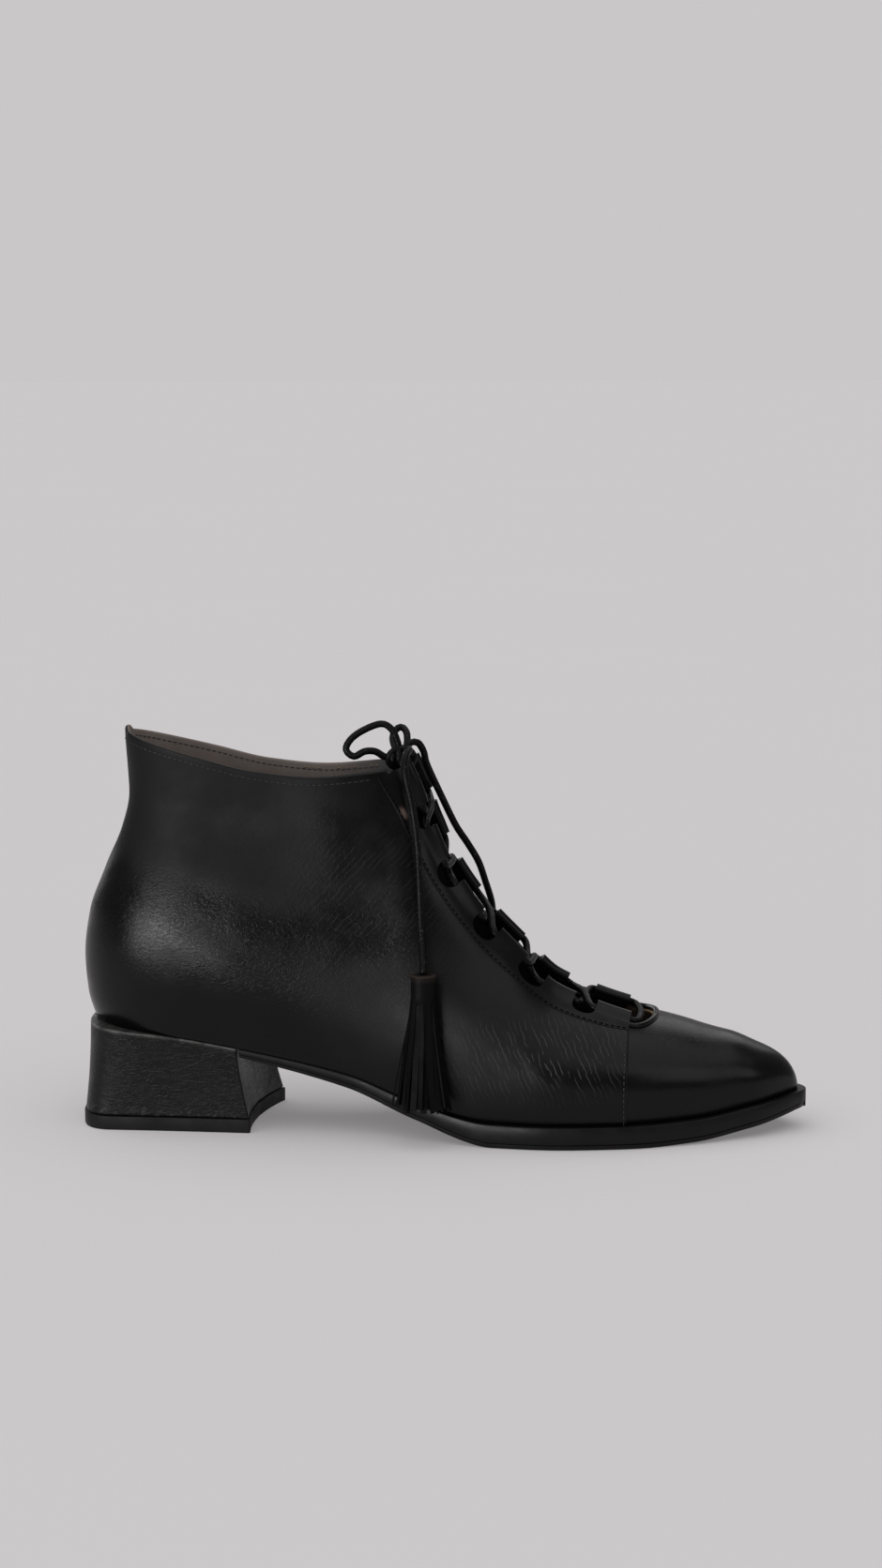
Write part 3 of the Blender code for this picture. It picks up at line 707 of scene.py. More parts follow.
# The lining's cut edge and the bare thread inside the collar
TAN_EDGE = Finish(
    name="tan_edge",
    colour=(0.33, 0.22, 0.12),
    second=(0.2, 0.12, 0.06),
    mottle=(500.0, 4.0),
    sheen=(200.0, 2.0),
    gloss=(0.5, 0.7),
    tooth=(1600.0, 2.0),
    relief=(0.08, 0.5),
)
BLACK_THREAD = Finish(
    name="black_thread",
    colour=(0.004, 0.004, 0.004),
    second=(0.022, 0.0215, 0.021),
    mottle=(700.0, 3.0),
    sheen=(300.0, 2.0),
    gloss=(0.4, 0.6),
    tooth=(2500.0, 2.0),
    relief=(0.05, 0.5),
)
# The same thread where it lies in shadow along the facings
DARK_THREAD = replace(
    BLACK_THREAD,
    name="dark_thread",
    colour=(0.0006, 0.0006, 0.0006),
    second=(0.0024, 0.0023, 0.0022),
    specular=0.03,
)
# Thin soft leather, matte, with a light cut edge
TASSEL_LEATHER = Finish(
    name="tassel_leather",
    colour=(0.0018, 0.0018, 0.0019),
    second=(0.0035, 0.0034, 0.0033),
    mottle=(420.0, 4.0),
    sheen=(150.0, 3.0),
    gloss=(0.5, 0.68),
    tooth=(1100.0, 3.0),
    relief=(0.12, 0.5),
    specular=0.09,
    drawn=(1.0, 1.0, 0.2),
    drawn_mottle=True,
    mark="cut",
    marked=(0.05, 0.037, 0.03),
)


@dataclass(frozen=True)
class WaxedCord:
    """Round braided cord, waxed black, with light specks where the wax has worn off."""

    name: str = "waxed_cord"
    colour: Colour = (0.0026, 0.0026, 0.0027)
    speck: Colour = (0.08, 0.077, 0.074)
    pitch: float = 1.7  # of the plait along the cord
    strands: int = 6
    specular: float = 0.11

    def material(self) -> bpy.types.Material:
        """Makes the material."""
        r = Recipe(self.name)
        uv = r.uv()
        along, around = math.sqrt(2) * BAND / self.pitch, math.sqrt(2) * BAND * self.strands
        turns = (math.radians(45.0), math.radians(-45.0))
        strands = [r.waves(r.stretched(uv, (along, around, 1.0), (0, 0, turn)), 1.0, 0.0) for turn in turns]
        plait = r.maths("MAXIMUM", *strands)
        place = r.place()
        specks = r.ranged(r.noise(place, 900.0, 3.0, 0.6), (0.59, 0.71), FULL)
        specks = r.maths("MULTIPLY", specks, r.ranged(plait, (0.5, 1.0), FULL))
        base = r.blended(specks, self.colour, self.speck)
        roughness = r.ranged(r.noise(place, 250.0, 3.0), CLOUD, (0.34, 0.5))
        normal = r.bumped(plait, 0.08, 0.4)
        return r.dress(Base_Color=base, Roughness=roughness, Normal=normal, Specular_IOR_Level=self.specular)


class Finishes:
    """Every material of the boot, made once."""

    def __init__(self) -> None:
        """Makes the materials."""
        self.upper = UpperLeather().material()
        self.heel = HeelLeather().material()
        self.sole = SOLE_EDGE.material()
        self.rubber = RUBBER.material()
        self.lining = LINING.material()
        self.tan = TAN_EDGE.material()
        self.cord = WaxedCord().material()
        self.thread = BLACK_THREAD.material()
        self.dark_thread = DARK_THREAD.material()
        self.tassel = TASSEL_LEATHER.material()


# Mesh making

Face = Sequence[int]


@dataclass
class Sheet:
    """Points and faces of a mesh in millimetres, with numbers kept on its points."""

    points: list[Array] = field(default_factory=list)
    faces: list[Face] = field(default_factory=list)
    parts: list[int] = field(default_factory=list)
    marks: dict[str, list[tuple[int, Array]]] = field(default_factory=dict)
    count: int = 0

    def add(self, grid: Array, **marks: Array | float) -> Array:
        """Adds points.

        Args:
            grid: an array of points, its last axis being x, y and z.
            marks: numbers for those points, by attribute name.

        Returns:
            The new points' numbers, in the grid's shape.
        """
        flat = grid.reshape(-1, 3)
        self.points.append(flat)
        for name, value in marks.items():
            values = np.broadcast_to(np.asarray(value, float), grid.shape[:-1]).reshape(-1)
            self.marks.setdefault(name, []).append((self.count, values))
        numbers = np.arange(self.count, self.count + len(flat)).reshape(grid.shape[:-1])
        self.count += len(flat)
        return numbers

    def skin(
        self, numbers: Array, part: int | Array = 0, around: bool = False, keep: Array | None = None
    ) -> None:
        """Adds faces between neighbouring rows and columns of a grid of points.

        Args:
            numbers: the points' numbers, in rows and columns.
            part: material slot, one for all faces or one for each column of faces.
            around: closes the columns into a ring.
            keep: which faces are made, where some are left out.
        """
        if around:
            numbers = np.concatenate([numbers, numbers[:, :1]], 1)
        a, b = numbers[:-1, :-1], numbers[1:, :-1]
        c, d = numbers[1:, 1:], numbers[:-1, 1:]
        quads = np.stack([a, d, c, b], -1)
        parts = np.broadcast_to(np.asarray(part), quads.shape[:2])
        if keep is not None:
            quads, parts = quads[keep], parts[keep]
        self.faces.extend(quads.reshape(-1, 4).tolist())
        self.parts.extend(parts.reshape(-1).tolist())

    def cap(self, ring: Array, flip: bool = False) -> None:
        """Closes a ring of points with a fan round its middle."""
        points = np.concatenate(self.points)
        middle = self.add(points[ring].mean(0)[None])[0]
        for first, second in zip(ring, np.roll(ring, -1)):
            self.faces.append((middle, second, first) if flip else (middle, first, second))
            self.parts.append(0)

    def barrel(self, rings: Array, flip: bool = False, **marks: Array | float) -> None:
        """Adds a closed body.

        Args:
            rings: rows of points, each row a ring round the body.
            flip: turns the faces of the two ends.
            marks: numbers for those points, by attribute name.
        """
        numbers = self.add(rings, **marks)
        self.skin(numbers, around=True)
        self.cap(numbers[0], flip)
        self.cap(numbers[-1], not flip)

    def mesh(self, name: str, merge: float = 0.004, turn: bool = True) -> bpy.types.Mesh:
        """Makes the mesh in metres.

        Args:
            name: the mesh's name.
            merge: points closer than this become one.
            turn: recalculates which way the faces point.

        Returns:
            The mesh, shaded smooth.
        """
        made = bpy.data.meshes.new(name)
        made.from_pydata((np.concatenate(self.points) * MM).tolist(), [], self.faces)
        made.polygons.foreach_set("material_index", self.parts)
        for label, runs in self.marks.items():
            values = np.zeros(self.count)
            for start, run in runs:
                values[start : start + len(run)] = run
            made.attributes.new(label, "FLOAT", "POINT").data.foreach_set("value", values)
        shape = bmesh.new()
        shape.from_mesh(made)
        bmesh.ops.remove_doubles(shape, verts=shape.verts, dist=merge * MM)
        bmesh.ops.dissolve_degenerate(shape, edges=shape.edges, dist=merge * MM / 2)
        if turn:
            bmesh.ops.recalc_face_normals(shape, faces=shape.faces)
        shape.to_mesh(made)
        shape.free()
        made.shade_smooth()
        return made


def place_piece(
    name: str,
    mesh: bpy.types.Mesh,
    materials: Sequence[bpy.types.Material],
    sharp: float = 0.0,
    nodes: Sequence[str] = (),
) -> bpy.types.Object:
    """Puts a mesh into the scene and lets it ride on the boot.

    Args:
        name: the piece's name.
        mesh: its mesh, already in place.
        materials: its materials, in the order of their slots.
        sharp: angle in degrees above which an edge stays sharp, or 0 for none.
        nodes: the solids that it stands for.

    Returns:
        The new object.
    """
    mesh.name = name
    for i, material in enumerate(materials):
        if i < len(mesh.materials):
            mesh.materials[i] = material
        else:
            mesh.materials.append(material)
    if sharp:
        mesh.set_sharp_from_angle(angle=math.radians(sharp))
    piece = bpy.data.objects.new(name, mesh)
    bpy.context.scene.collection.objects.link(piece)
    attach(piece, BODY)
    if nodes:
        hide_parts(*nodes)
    log.info("%s: %d faces", name, len(mesh.polygons))
    return piece


def applied(piece: bpy.types.Object) -> bpy.types.Mesh:
    """The mesh of a piece with its modifiers worked in, after which the piece is removed."""
    graph = bpy.context.evaluated_depsgraph_get()
    made = bpy.data.meshes.new_from_object(piece.evaluated_get(graph))
    bpy.data.objects.remove(piece, do_unlink=True)
    return made


def thickened(mesh: bpy.types.Mesh, thickness: float) -> bpy.types.Mesh:
    """A closed wall that grows inwards from an open sheet whose faces point outwards."""
    holder = bpy.data.objects.new("thickened", mesh)
    bpy.context.scene.collection.objects.link(holder)
    wall = holder.modifiers.new("wall", "SOLIDIFY")
    wall.thickness = thickness * MM
    wall.offset = -1.0
    wall.use_rim = True
    made = applied(holder)
    made.shade_smooth()
    return made


def smooth_route(points: Sequence[Sequence[float]], step: float) -> Array:
    """Points about one step apart on a smooth curve through given ones.

    Args:
        points: the route's own points.
        step: spacing in millimetres.

    Returns:
        The finer route.
    """
    route = np.array(points, float)
    padded = np.vstack([2 * route[0] - route[1], route, 2 * route[-1] - route[-2]])
    found = []
    for before, a, b, after in zip(padded, padded[1:], padded[2:], padded[3:]):
        count = max(round(float(np.linalg.norm(b - a)) / step), 1)
        t = (np.arange(count) / count)[:, None]
        bend = (2 * before - 5 * a + 4 * b - after) * t**2 + (3 * a - before - 3 * b + after) * t**3
        found.append((2 * a + (b - before) * t + bend) / 2)
    return np.vstack([*found, route[-1:]])


def lengths_along(route: Array) -> Array:
    """Distance of each point of a route from its start."""
    return np.concatenate([[0.0], np.cumsum(np.linalg.norm(np.diff(route, axis=0), axis=1))])


def carried_frames(route: Array) -> tuple[Array, Array, Array]:
    """Directions along a route and two across it that turn as little as they can."""
    along = unit(np.gradient(route, axis=0))
    first = np.cross(along[0], (0.0, 0.0, 1.0))
    if np.linalg.norm(first) < 0.2:
        first = np.cross(along[0], (0.0, 1.0, 0.0))
    across = [unit(first)]
    for direction in along[1:]:
        across.append(unit(across[-1] - direction * np.dot(across[-1], direction)))
    across = np.array(across)
    return along, across, np.cross(along, across)


def tube(name: str, route: Array, radius: float, sides: int = 12) -> bpy.types.Mesh:
    """A round tube with rounded ends, and a map of millimetres along it and a share round it.

    Args:
        name: the mesh's name.
        route: its middle line in millimetres.
        radius: its radius.
        sides: corners of its section.

    Returns:
        The mesh.
    """
    along = unit(np.gradient(route, axis=0))
    ends = np.array([0.9, 0.5])
    beyond = radius * np.sqrt(1 - ends**2)[:, None]
    first, last = route[0] - along[0] * beyond, route[-1] + along[-1] * beyond
    radii = radius * np.concatenate([ends[::-1], np.ones(len(route)), ends])
    route = np.vstack([first[::-1], route, last])
    _, across, third = carried_frames(route)
    angle = 2 * np.pi * np.arange(sides)[:, None] / sides
    ring = across[:, None] * np.cos(angle) + third[:, None] * np.sin(angle)
    sheet = Sheet()
    sheet.barrel(route[:, None] + ring * radii[:, None, None])
    made = sheet.mesh(name, merge=1e-5)

    def listed(values: bpy.types.bpy_prop_collection, name: str) -> Array:
        """A whole number of every item."""
        numbers = np.zeros(len(values), int)
        values.foreach_get(name, numbers)
        return numbers

    corners = listed(made.loops, "vertex_index")
    row, column = np.divmod(np.minimum(corners, len(route) * sides - 1), sides)
    sizes = listed(made.polygons, "loop_total")
    owner = np.repeat(np.arange(len(sizes)), sizes)
    wraps = np.zeros(len(sizes), bool)
    np.logical_or.at(wraps, owner, column == sides - 1)
    shares = np.where(wraps[owner] & (column == 0), 1.0, column / sides)
    layer = made.uv_layers.new(name="UVMap")
    layer.data.foreach_set("uv", np.stack([lengths_along(route)[row], shares], 1).ravel())
    return made


# Sewing

@dataclass
class Sewing:
    """Rows of stitches, laid by Geometry Nodes along a path."""

    pitch: float = 2.2
    length: float = 1.7
    thick: float = 0.42
    uneven: Pair = (0.9, 1.08)  # shortest and longest stitch, as shares of the length
    seed: int = 7
    tree: NodeTree | None = None

    def build_tree(self) -> NodeTree:
        """The node tree: spaces points along a path and lays a stitch on each, turned along it."""
        tree = bpy.data.node_groups.new("stitch_row", "GeometryNodeTree")
        for name, kind in (
            ("Geometry", "NodeSocketGeometry"),
            ("Pitch", "NodeSocketFloat"),
            ("Length", "NodeSocketFloat"),
            ("Thickness", "NodeSocketFloat"),
            ("Seed", "NodeSocketInt"),
            ("Thread", "NodeSocketMaterial"),
        ):
            tree.interface.new_socket(name, in_out="INPUT", socket_type=kind)
        tree.interface.new_socket("Geometry", in_out="OUTPUT", socket_type="NodeSocketGeometry")

        def add(kind: str, **settings: object) -> bpy.types.Node:
            """Adds a node with its settings."""
            made = tree.nodes.new(kind)
            for name, value in settings.items():
                setattr(made, name, value)
            return made

        given, result = add("NodeGroupInput"), add("NodeGroupOutput")
        path = add("GeometryNodeMeshToCurve")
        even = add("GeometryNodeResampleCurve", mode="LENGTH")
        tangent = add("GeometryNodeInputTangent")
        turn = add("FunctionNodeAlignRotationToVector", axis="Z")
        stitch = add("GeometryNodeMeshUVSphere")
        for name, value in (("Segments", 6), ("Rings", 5), ("Radius", 0.5)):
            stitch.inputs[name].default_value = value
        size = add("ShaderNodeCombineXYZ")
        uneven = add("FunctionNodeRandomValue", data_type="FLOAT")
        uneven.inputs[2].default_value, uneven.inputs[3].default_value = self.uneven
        longer = add("ShaderNodeMath", operation="MULTIPLY")
        lay = add("GeometryNodeInstanceOnPoints")
        real = add("GeometryNodeRealizeInstances")
        smooth = add("GeometryNodeSetShadeSmooth")
        dress = add("GeometryNodeSetMaterial")
        for source, output, target, socket in (
            (given, "Geometry", path, "Mesh"),
            (path, "Curve", even, "Curve"),
            (given, "Pitch", even, "Length"),
            (even, "Curve", lay, "Points"),
            (stitch, "Mesh", lay, "Instance"),
            (tangent, "Tangent", turn, "Vector"),
            (turn, "Rotation", lay, "Rotation"),
            (given, "Thickness", size, "X"),
            (given, "Thickness", size, "Y"),
            (given, "Seed", uneven, "Seed"),
            (given, "Length", longer, 0),
            (uneven, 1, longer, 1),
            (longer, "Value", size, "Z"),
            (size, "Vector", lay, "Scale"),
            (lay, "Instances", real, "Geometry"),
            (real, "Geometry", smooth, "Geometry"),
            (smooth, "Geometry", dress, "Geometry"),
            (given, "Thread", dress, "Material"),
            (dress, "Geometry", result, "Geometry"),
        ):
            tree.links.new(source.outputs[output], target.inputs[socket])
        return tree

    def row(self, name: str, routes: Sequence[Array], thread: bpy.types.Material) -> bpy.types.Object:
        """Sews along one or more routes.

        Args:
            name: the piece's name.
            routes: points of each row, in millimetres.
            thread: the thread's material.

        Returns:
            The stitches as one piece.
        """
        self.tree = self.tree or self.build_tree()
        points = np.vstack(routes) * MM
        edges, start = [], 0
        for route in routes:
            edges += [(start + i, start + i + 1) for i in range(len(route) - 1)]
            start += len(route)
        mesh = bpy.data.meshes.new(name)
        mesh.from_pydata(points.tolist(), edges, [])
        holder = bpy.data.objects.new(name + "_path", mesh)
        bpy.context.scene.collection.objects.link(holder)
        modifier = holder.modifiers.new("stitches", "NODES")
        modifier.node_group = self.tree
        values = {
            "Pitch": self.pitch * MM,
            "Length": self.length * MM,
            "Thickness": self.thick * MM,
            "Seed": self.seed,
            "Thread": thread,
        }
        for item in self.tree.interface.items_tree:
            if item.in_out == "INPUT" and item.name in values:
                modifier[item.identifier] = values[item.name]
        return place_piece(name, applied(holder), [thread])


# The boot's own pieces

CORNER_SPAN = (np.array([-47.0]), np.array([-12.0]))  # where the throat's edges reach the collar


@dataclass
class Throat:
    """The open instep: lines along its edges, and the facing with its folded loops."""

    line_start_x: float = 71.4
    zero_x: float = SEAM_X - 0.7
    loop_length: float = 13.0
    loop_middle: float = 4.7  # from the throat's edge to the lace inside a loop
    fold_middle: float = 5.7
    fold_reach: float = 2.5
    fold_half: float = 2.35
    leather: float = 0.9
    loop_extra: float = 0.6  # the leather's loops are longer by this than the solids
    fold_start: float = 5.4  # from the throat's edge to where a loop turns back
    facing_edge: float = 0.9  # from the stitch row to the facing's lower edge
    raised: float = 1.08  # of the facing over the last
    edge_drop: float = 0.08  # of the facing's lower edge
    stitch_rise: float = 0.13  # of the row over the facing
    collar_gap: float = 0.4
    rim_radius: float = 1.15
    lining_radius: float = 0.75
    lining_inset: Point = (-0.6, 0.0, -1.5)
    scuff: Pair = (118.0, -3.5)  # along and across, on the outer facing
    scuff_half: Pair = (2.3, 1.0)
    grain: float = 0.12
    starts: dict[Side, tuple[float, ...]] = field(
        default_factory=lambda: {
            Side.OUTER: (-0.6, 22.0, 46.8, 71.0, 95.6, 118.2),
            Side.INNER: (0.6, 26.0, 50.4, 76.4, 101.8, 120.4),
        }
    )
    lines: dict[Side, dict[str, Array]] = field(default_factory=dict)

    def corner_x(self, side: Side) -> float:
        """Where the collar meets the throat's edge."""

        def inside(x: Array) -> Array:
            """Whether the collar is still wider than the throat."""
            return LAST.half_width(side, x, COLLAR.at("height", x)) > LAST.throat_half(x)

        return float(bisect(*CORNER_SPAN, inside)[0])

    def line(self, side: Side) -> dict[str, Array]:
        """Places along an edge of the throat: points, directions and distance from its lower end."""
        if side in self.lines:
            return self.lines[side]
        xs = np.linspace(self.line_start_x, self.corner_x(side) - 1.5, 420)
        here = LAST.throat_edge(side, xs)
        along = unit(LAST.throat_edge(side, xs - 1.0) - LAST.throat_edge(side, xs + 1.0))
        across = here - LAST.point(side, xs, here[:, 2] - 1.0)
        across = unit(across - along * (across * along).sum(-1, keepdims=True))
        out = np.cross(along, across) * side.value
        distance = lengths_along(here)
        distance = distance - np.interp(-self.zero_x, -xs, distance)
        self.lines[side] = {"distance": distance, "here": here, "along": along, "across": across, "out": out}
        return self.lines[side]

    def read(self, side: Side, name: str, u: Array) -> Array:
        """One of the line's entries at distances along the edge."""
        line = self.line(side)
        return np.stack([np.interp(u, line["distance"], line[name][:, k]) for k in range(3)], -1)

    def top(self, side: Side) -> float:
        """Length of the edge up to the collar."""
        line = self.line(side)
        return float(np.interp(-self.corner_x(side), -line["here"][:, 0], line["distance"]))

    def spot(self, side: Side, u: Array, v: Array, lift: Array) -> Array:
        """Points beside the throat's edge.

        Args:
            side: which edge.
            u: distance along it from its lower end.
            v: distance across, towards the middle of the throat, or negative on the quarter.
            lift: height over the last's surface.

        Returns:
            The points.
        """
        u, v, lift = np.broadcast_arrays(np.asarray(u, float), np.asarray(v, float), np.asarray(lift, float))
        here, across, out = (self.read(side, name, u) for name in ("here", "across", "out"))
        free = here + across * v[..., None]
        on_last = LAST.point(side, free[..., 0], np.minimum(free[..., 2], COLLAR.at("height", free[..., 0])))
        outward = LAST.normal(side, on_last[..., 0], on_last[..., 2])
        share = smoothstep(-1.5, 0.0, v)[..., None]
        start = np.where(v[..., None] < 0, on_last, free)
        return start + mix(outward, out, share) * lift[..., None]

    def loop_axis(self, side: Side, number: int) -> tuple[Array, Array, Array]:
        """Middle of a loop's hole, its half length as a vector, and the way out of the leather."""
        u = self.starts[side][number] + self.loop_length / 2
        here, along, across, out = (self.read(side, n, u) for n in ("here", "along", "across", "out"))
        return here + across * self.loop_middle, along * self.loop_length / 2, out

    def hem(self, side: Side, below: float) -> tuple[Array, Array]:
        """The quarter's own top edge, hidden under the facing.

        Args:
            side: which side.
            below: how far it lies below the notches.

        Returns:
            Places along the foot, from the collar forward, and heights there.
        """
        u = np.linspace(0.0, self.top(side) + 1.0, 240)
        depth = (NOTCHES.at("depth", u) + below) * smoothstep(0.0, 6.0, u)
        edge = self.read(side, "here", u) - self.read(side, "across", u) * depth[:, None]
        beyond = edge[-1] + unit(edge[-1] - edge[-4]) * 30.0
        edge = np.vstack([edge, beyond])[::-1]
        return edge[:, 0], edge[:, 2]

    def build(self, side: Side, finishes: Finishes, sewing: Sewing) -> list[bpy.types.Object]:
        """Makes the facing of one side with its six folded loops, and its stitch row.

        Args:
            side: which side.
            finishes: the materials.
            sewing: lays the stitches.

        Returns:
            The pieces.
        """
        starts = self.starts[side]
        top = self.top(side) - self.collar_gap
        ends = [*(s + self.loop_length + self.loop_extra for s in starts[:-1]), top]
        half_gaps = [0.0, *((start - end) / 2 for start, end in zip(starts[1:], ends)), 0.0]
        below = np.concatenate([[1.0, 0.95], np.linspace(0.875, 0.0, 8)[:-1]])
        rise = 1 - np.cos(np.linspace(0.0, np.pi / 2, 18))
        arc = np.linspace(np.pi / 2, -np.pi / 2, 15)
        under = np.array([0.15, 0.3])
        w = np.sin(np.linspace(-np.pi / 2, np.pi / 2, 41))
        sheet = Sheet()
        for n, (start, end) in enumerate(zip(starts, ends)):
            gaps = half_gaps[n : n + 2]
            middle, half = (start + end) / 2, (end - start) / 2
            deep = [float(NOTCHES.at("depth", place)) for place in (start - gaps[0], end + gaps[1])]
            notch = [self.loop_half(half, gap, rise * (self.fold_start + d)) for gap, d in zip(gaps, deep)]
            reach = np.where(w[None] < 0, notch[0][:, None], notch[1][:, None])
            foot_u = middle + w * np.where(w < 0, half + gaps[0], half + gaps[1])
            loop_u = middle + w * reach
            bottom, loop_bottom = (-np.interp(u, foot_u[[0, -1]], deep) for u in (foot_u, loop_u))
            edge = -(NOTCHES.at("row", foot_u) + self.facing_edge)
            foot_v = bottom + below[:, None] * (edge - bottom)
            foot_lift = self.raised - self.edge_drop * smoothstep(0.94, 1.0, below)
            loop_v = loop_bottom + rise[:, None] * (self.fold_start - loop_bottom)
            loop_lift = mix(self.raised, self.fold_half, smoothstep(0.2, 1.0, rise))
            fold_v = self.fold_middle + np.cos(arc) * self.fold_reach
            under_v = bottom + under[:, None] * (edge - bottom)
            runs = (
                (foot_u, foot_v, foot_lift),
                (loop_u, loop_v, loop_lift),
                (middle + w * half, fold_v[:, None], np.sin(arc) * self.fold_half),
                (loop_u[::-1], loop_v[::-1], np.full(len(rise), -self.fold_half)),
                (foot_u, under_v, np.full(len(under), -self.fold_half)),
            )
            grids = [np.broadcast_arrays(along, across, lift[:, None]) for along, across, lift in runs]
            u, v, lift = (np.vstack(rows) for rows in zip(*grids))
            away = [(place - at) / size for place, at, size in zip((u, v), self.scuff, self.scuff_half)]
            worn = np.where(side is Side.OUTER, np.exp(-((away[0] ** 2 + away[1] ** 2) ** 2)), 0.0)
            numbers = sheet.add(self.spot(side, u, v, lift), grain=self.grain, worn=worn)
            sheet.skin(numbers if side is Side.INNER else numbers[::-1])
        name = f"facing_{side.word}"
        mesh = thickened(sheet.mesh(name, merge=0.02, turn=False), self.leather)
        loops = [f"lace_loop_{side.word}_{n + 1}" for n in range(len(starts))]
        piece = place_piece(name, mesh, [finishes.upper], 50.0, loops)
        u = np.linspace(0.8, top - 1.0, 300)
        row = self.spot(side, u, -NOTCHES.at("row", u), self.raised + self.stitch_rise)
        stitches = sewing.row(f"facing_stitches_{side.word}", [row], finishes.dark_thread)
        return [piece, stitches]

    def loop_half(self, half: float, gap: float, rise: Array) -> Array:
        """Half length of a loop at heights over the round notch beside it.

        Args:
            half: half length of the loop where it is straight.
            gap: the notch's radius, or 0 at a straight end.
            rise: heights over the bottom of the notch.

        Returns:
            The half length at each height.
        """
        if gap == 0.0:
            return np.full(rise.shape, half)
        return half + gap - np.sqrt(gap**2 - np.maximum(gap - rise, 0.0) ** 2)

    def build_rim(self, finishes: Finishes) -> bpy.types.Object:
        """The rolled edge round the throat's end over the toes."""
        x = np.concatenate([spaced(SEAM_X - 2.0, THROAT_END_X, 50, Ease.END), [THROAT_END_X]])
        outer, inner = (LAST.throat_edge(side, x) for side in Side)
        route = np.vstack([outer, inner[::-1][1:]])
        route[:, 2] += 0.1
        route = smooth_route(route[::3], 0.8)
        piece = place_piece("throat_rim", tube("throat_rim", route, self.rim_radius), [finishes.upper])
        inset = tube("throat_rim_lining", route + np.array(self.lining_inset), self.lining_radius, 8)
        place_piece("throat_rim_lining", inset, [finishes.tan])
        return piece


@dataclass(frozen=True)
class Crease:
    """A soft trough in the leather: where it runs on the side view, how deep and how wide."""

    start: Pair
    end: Pair
    bow: float
    depth: float
    width: float


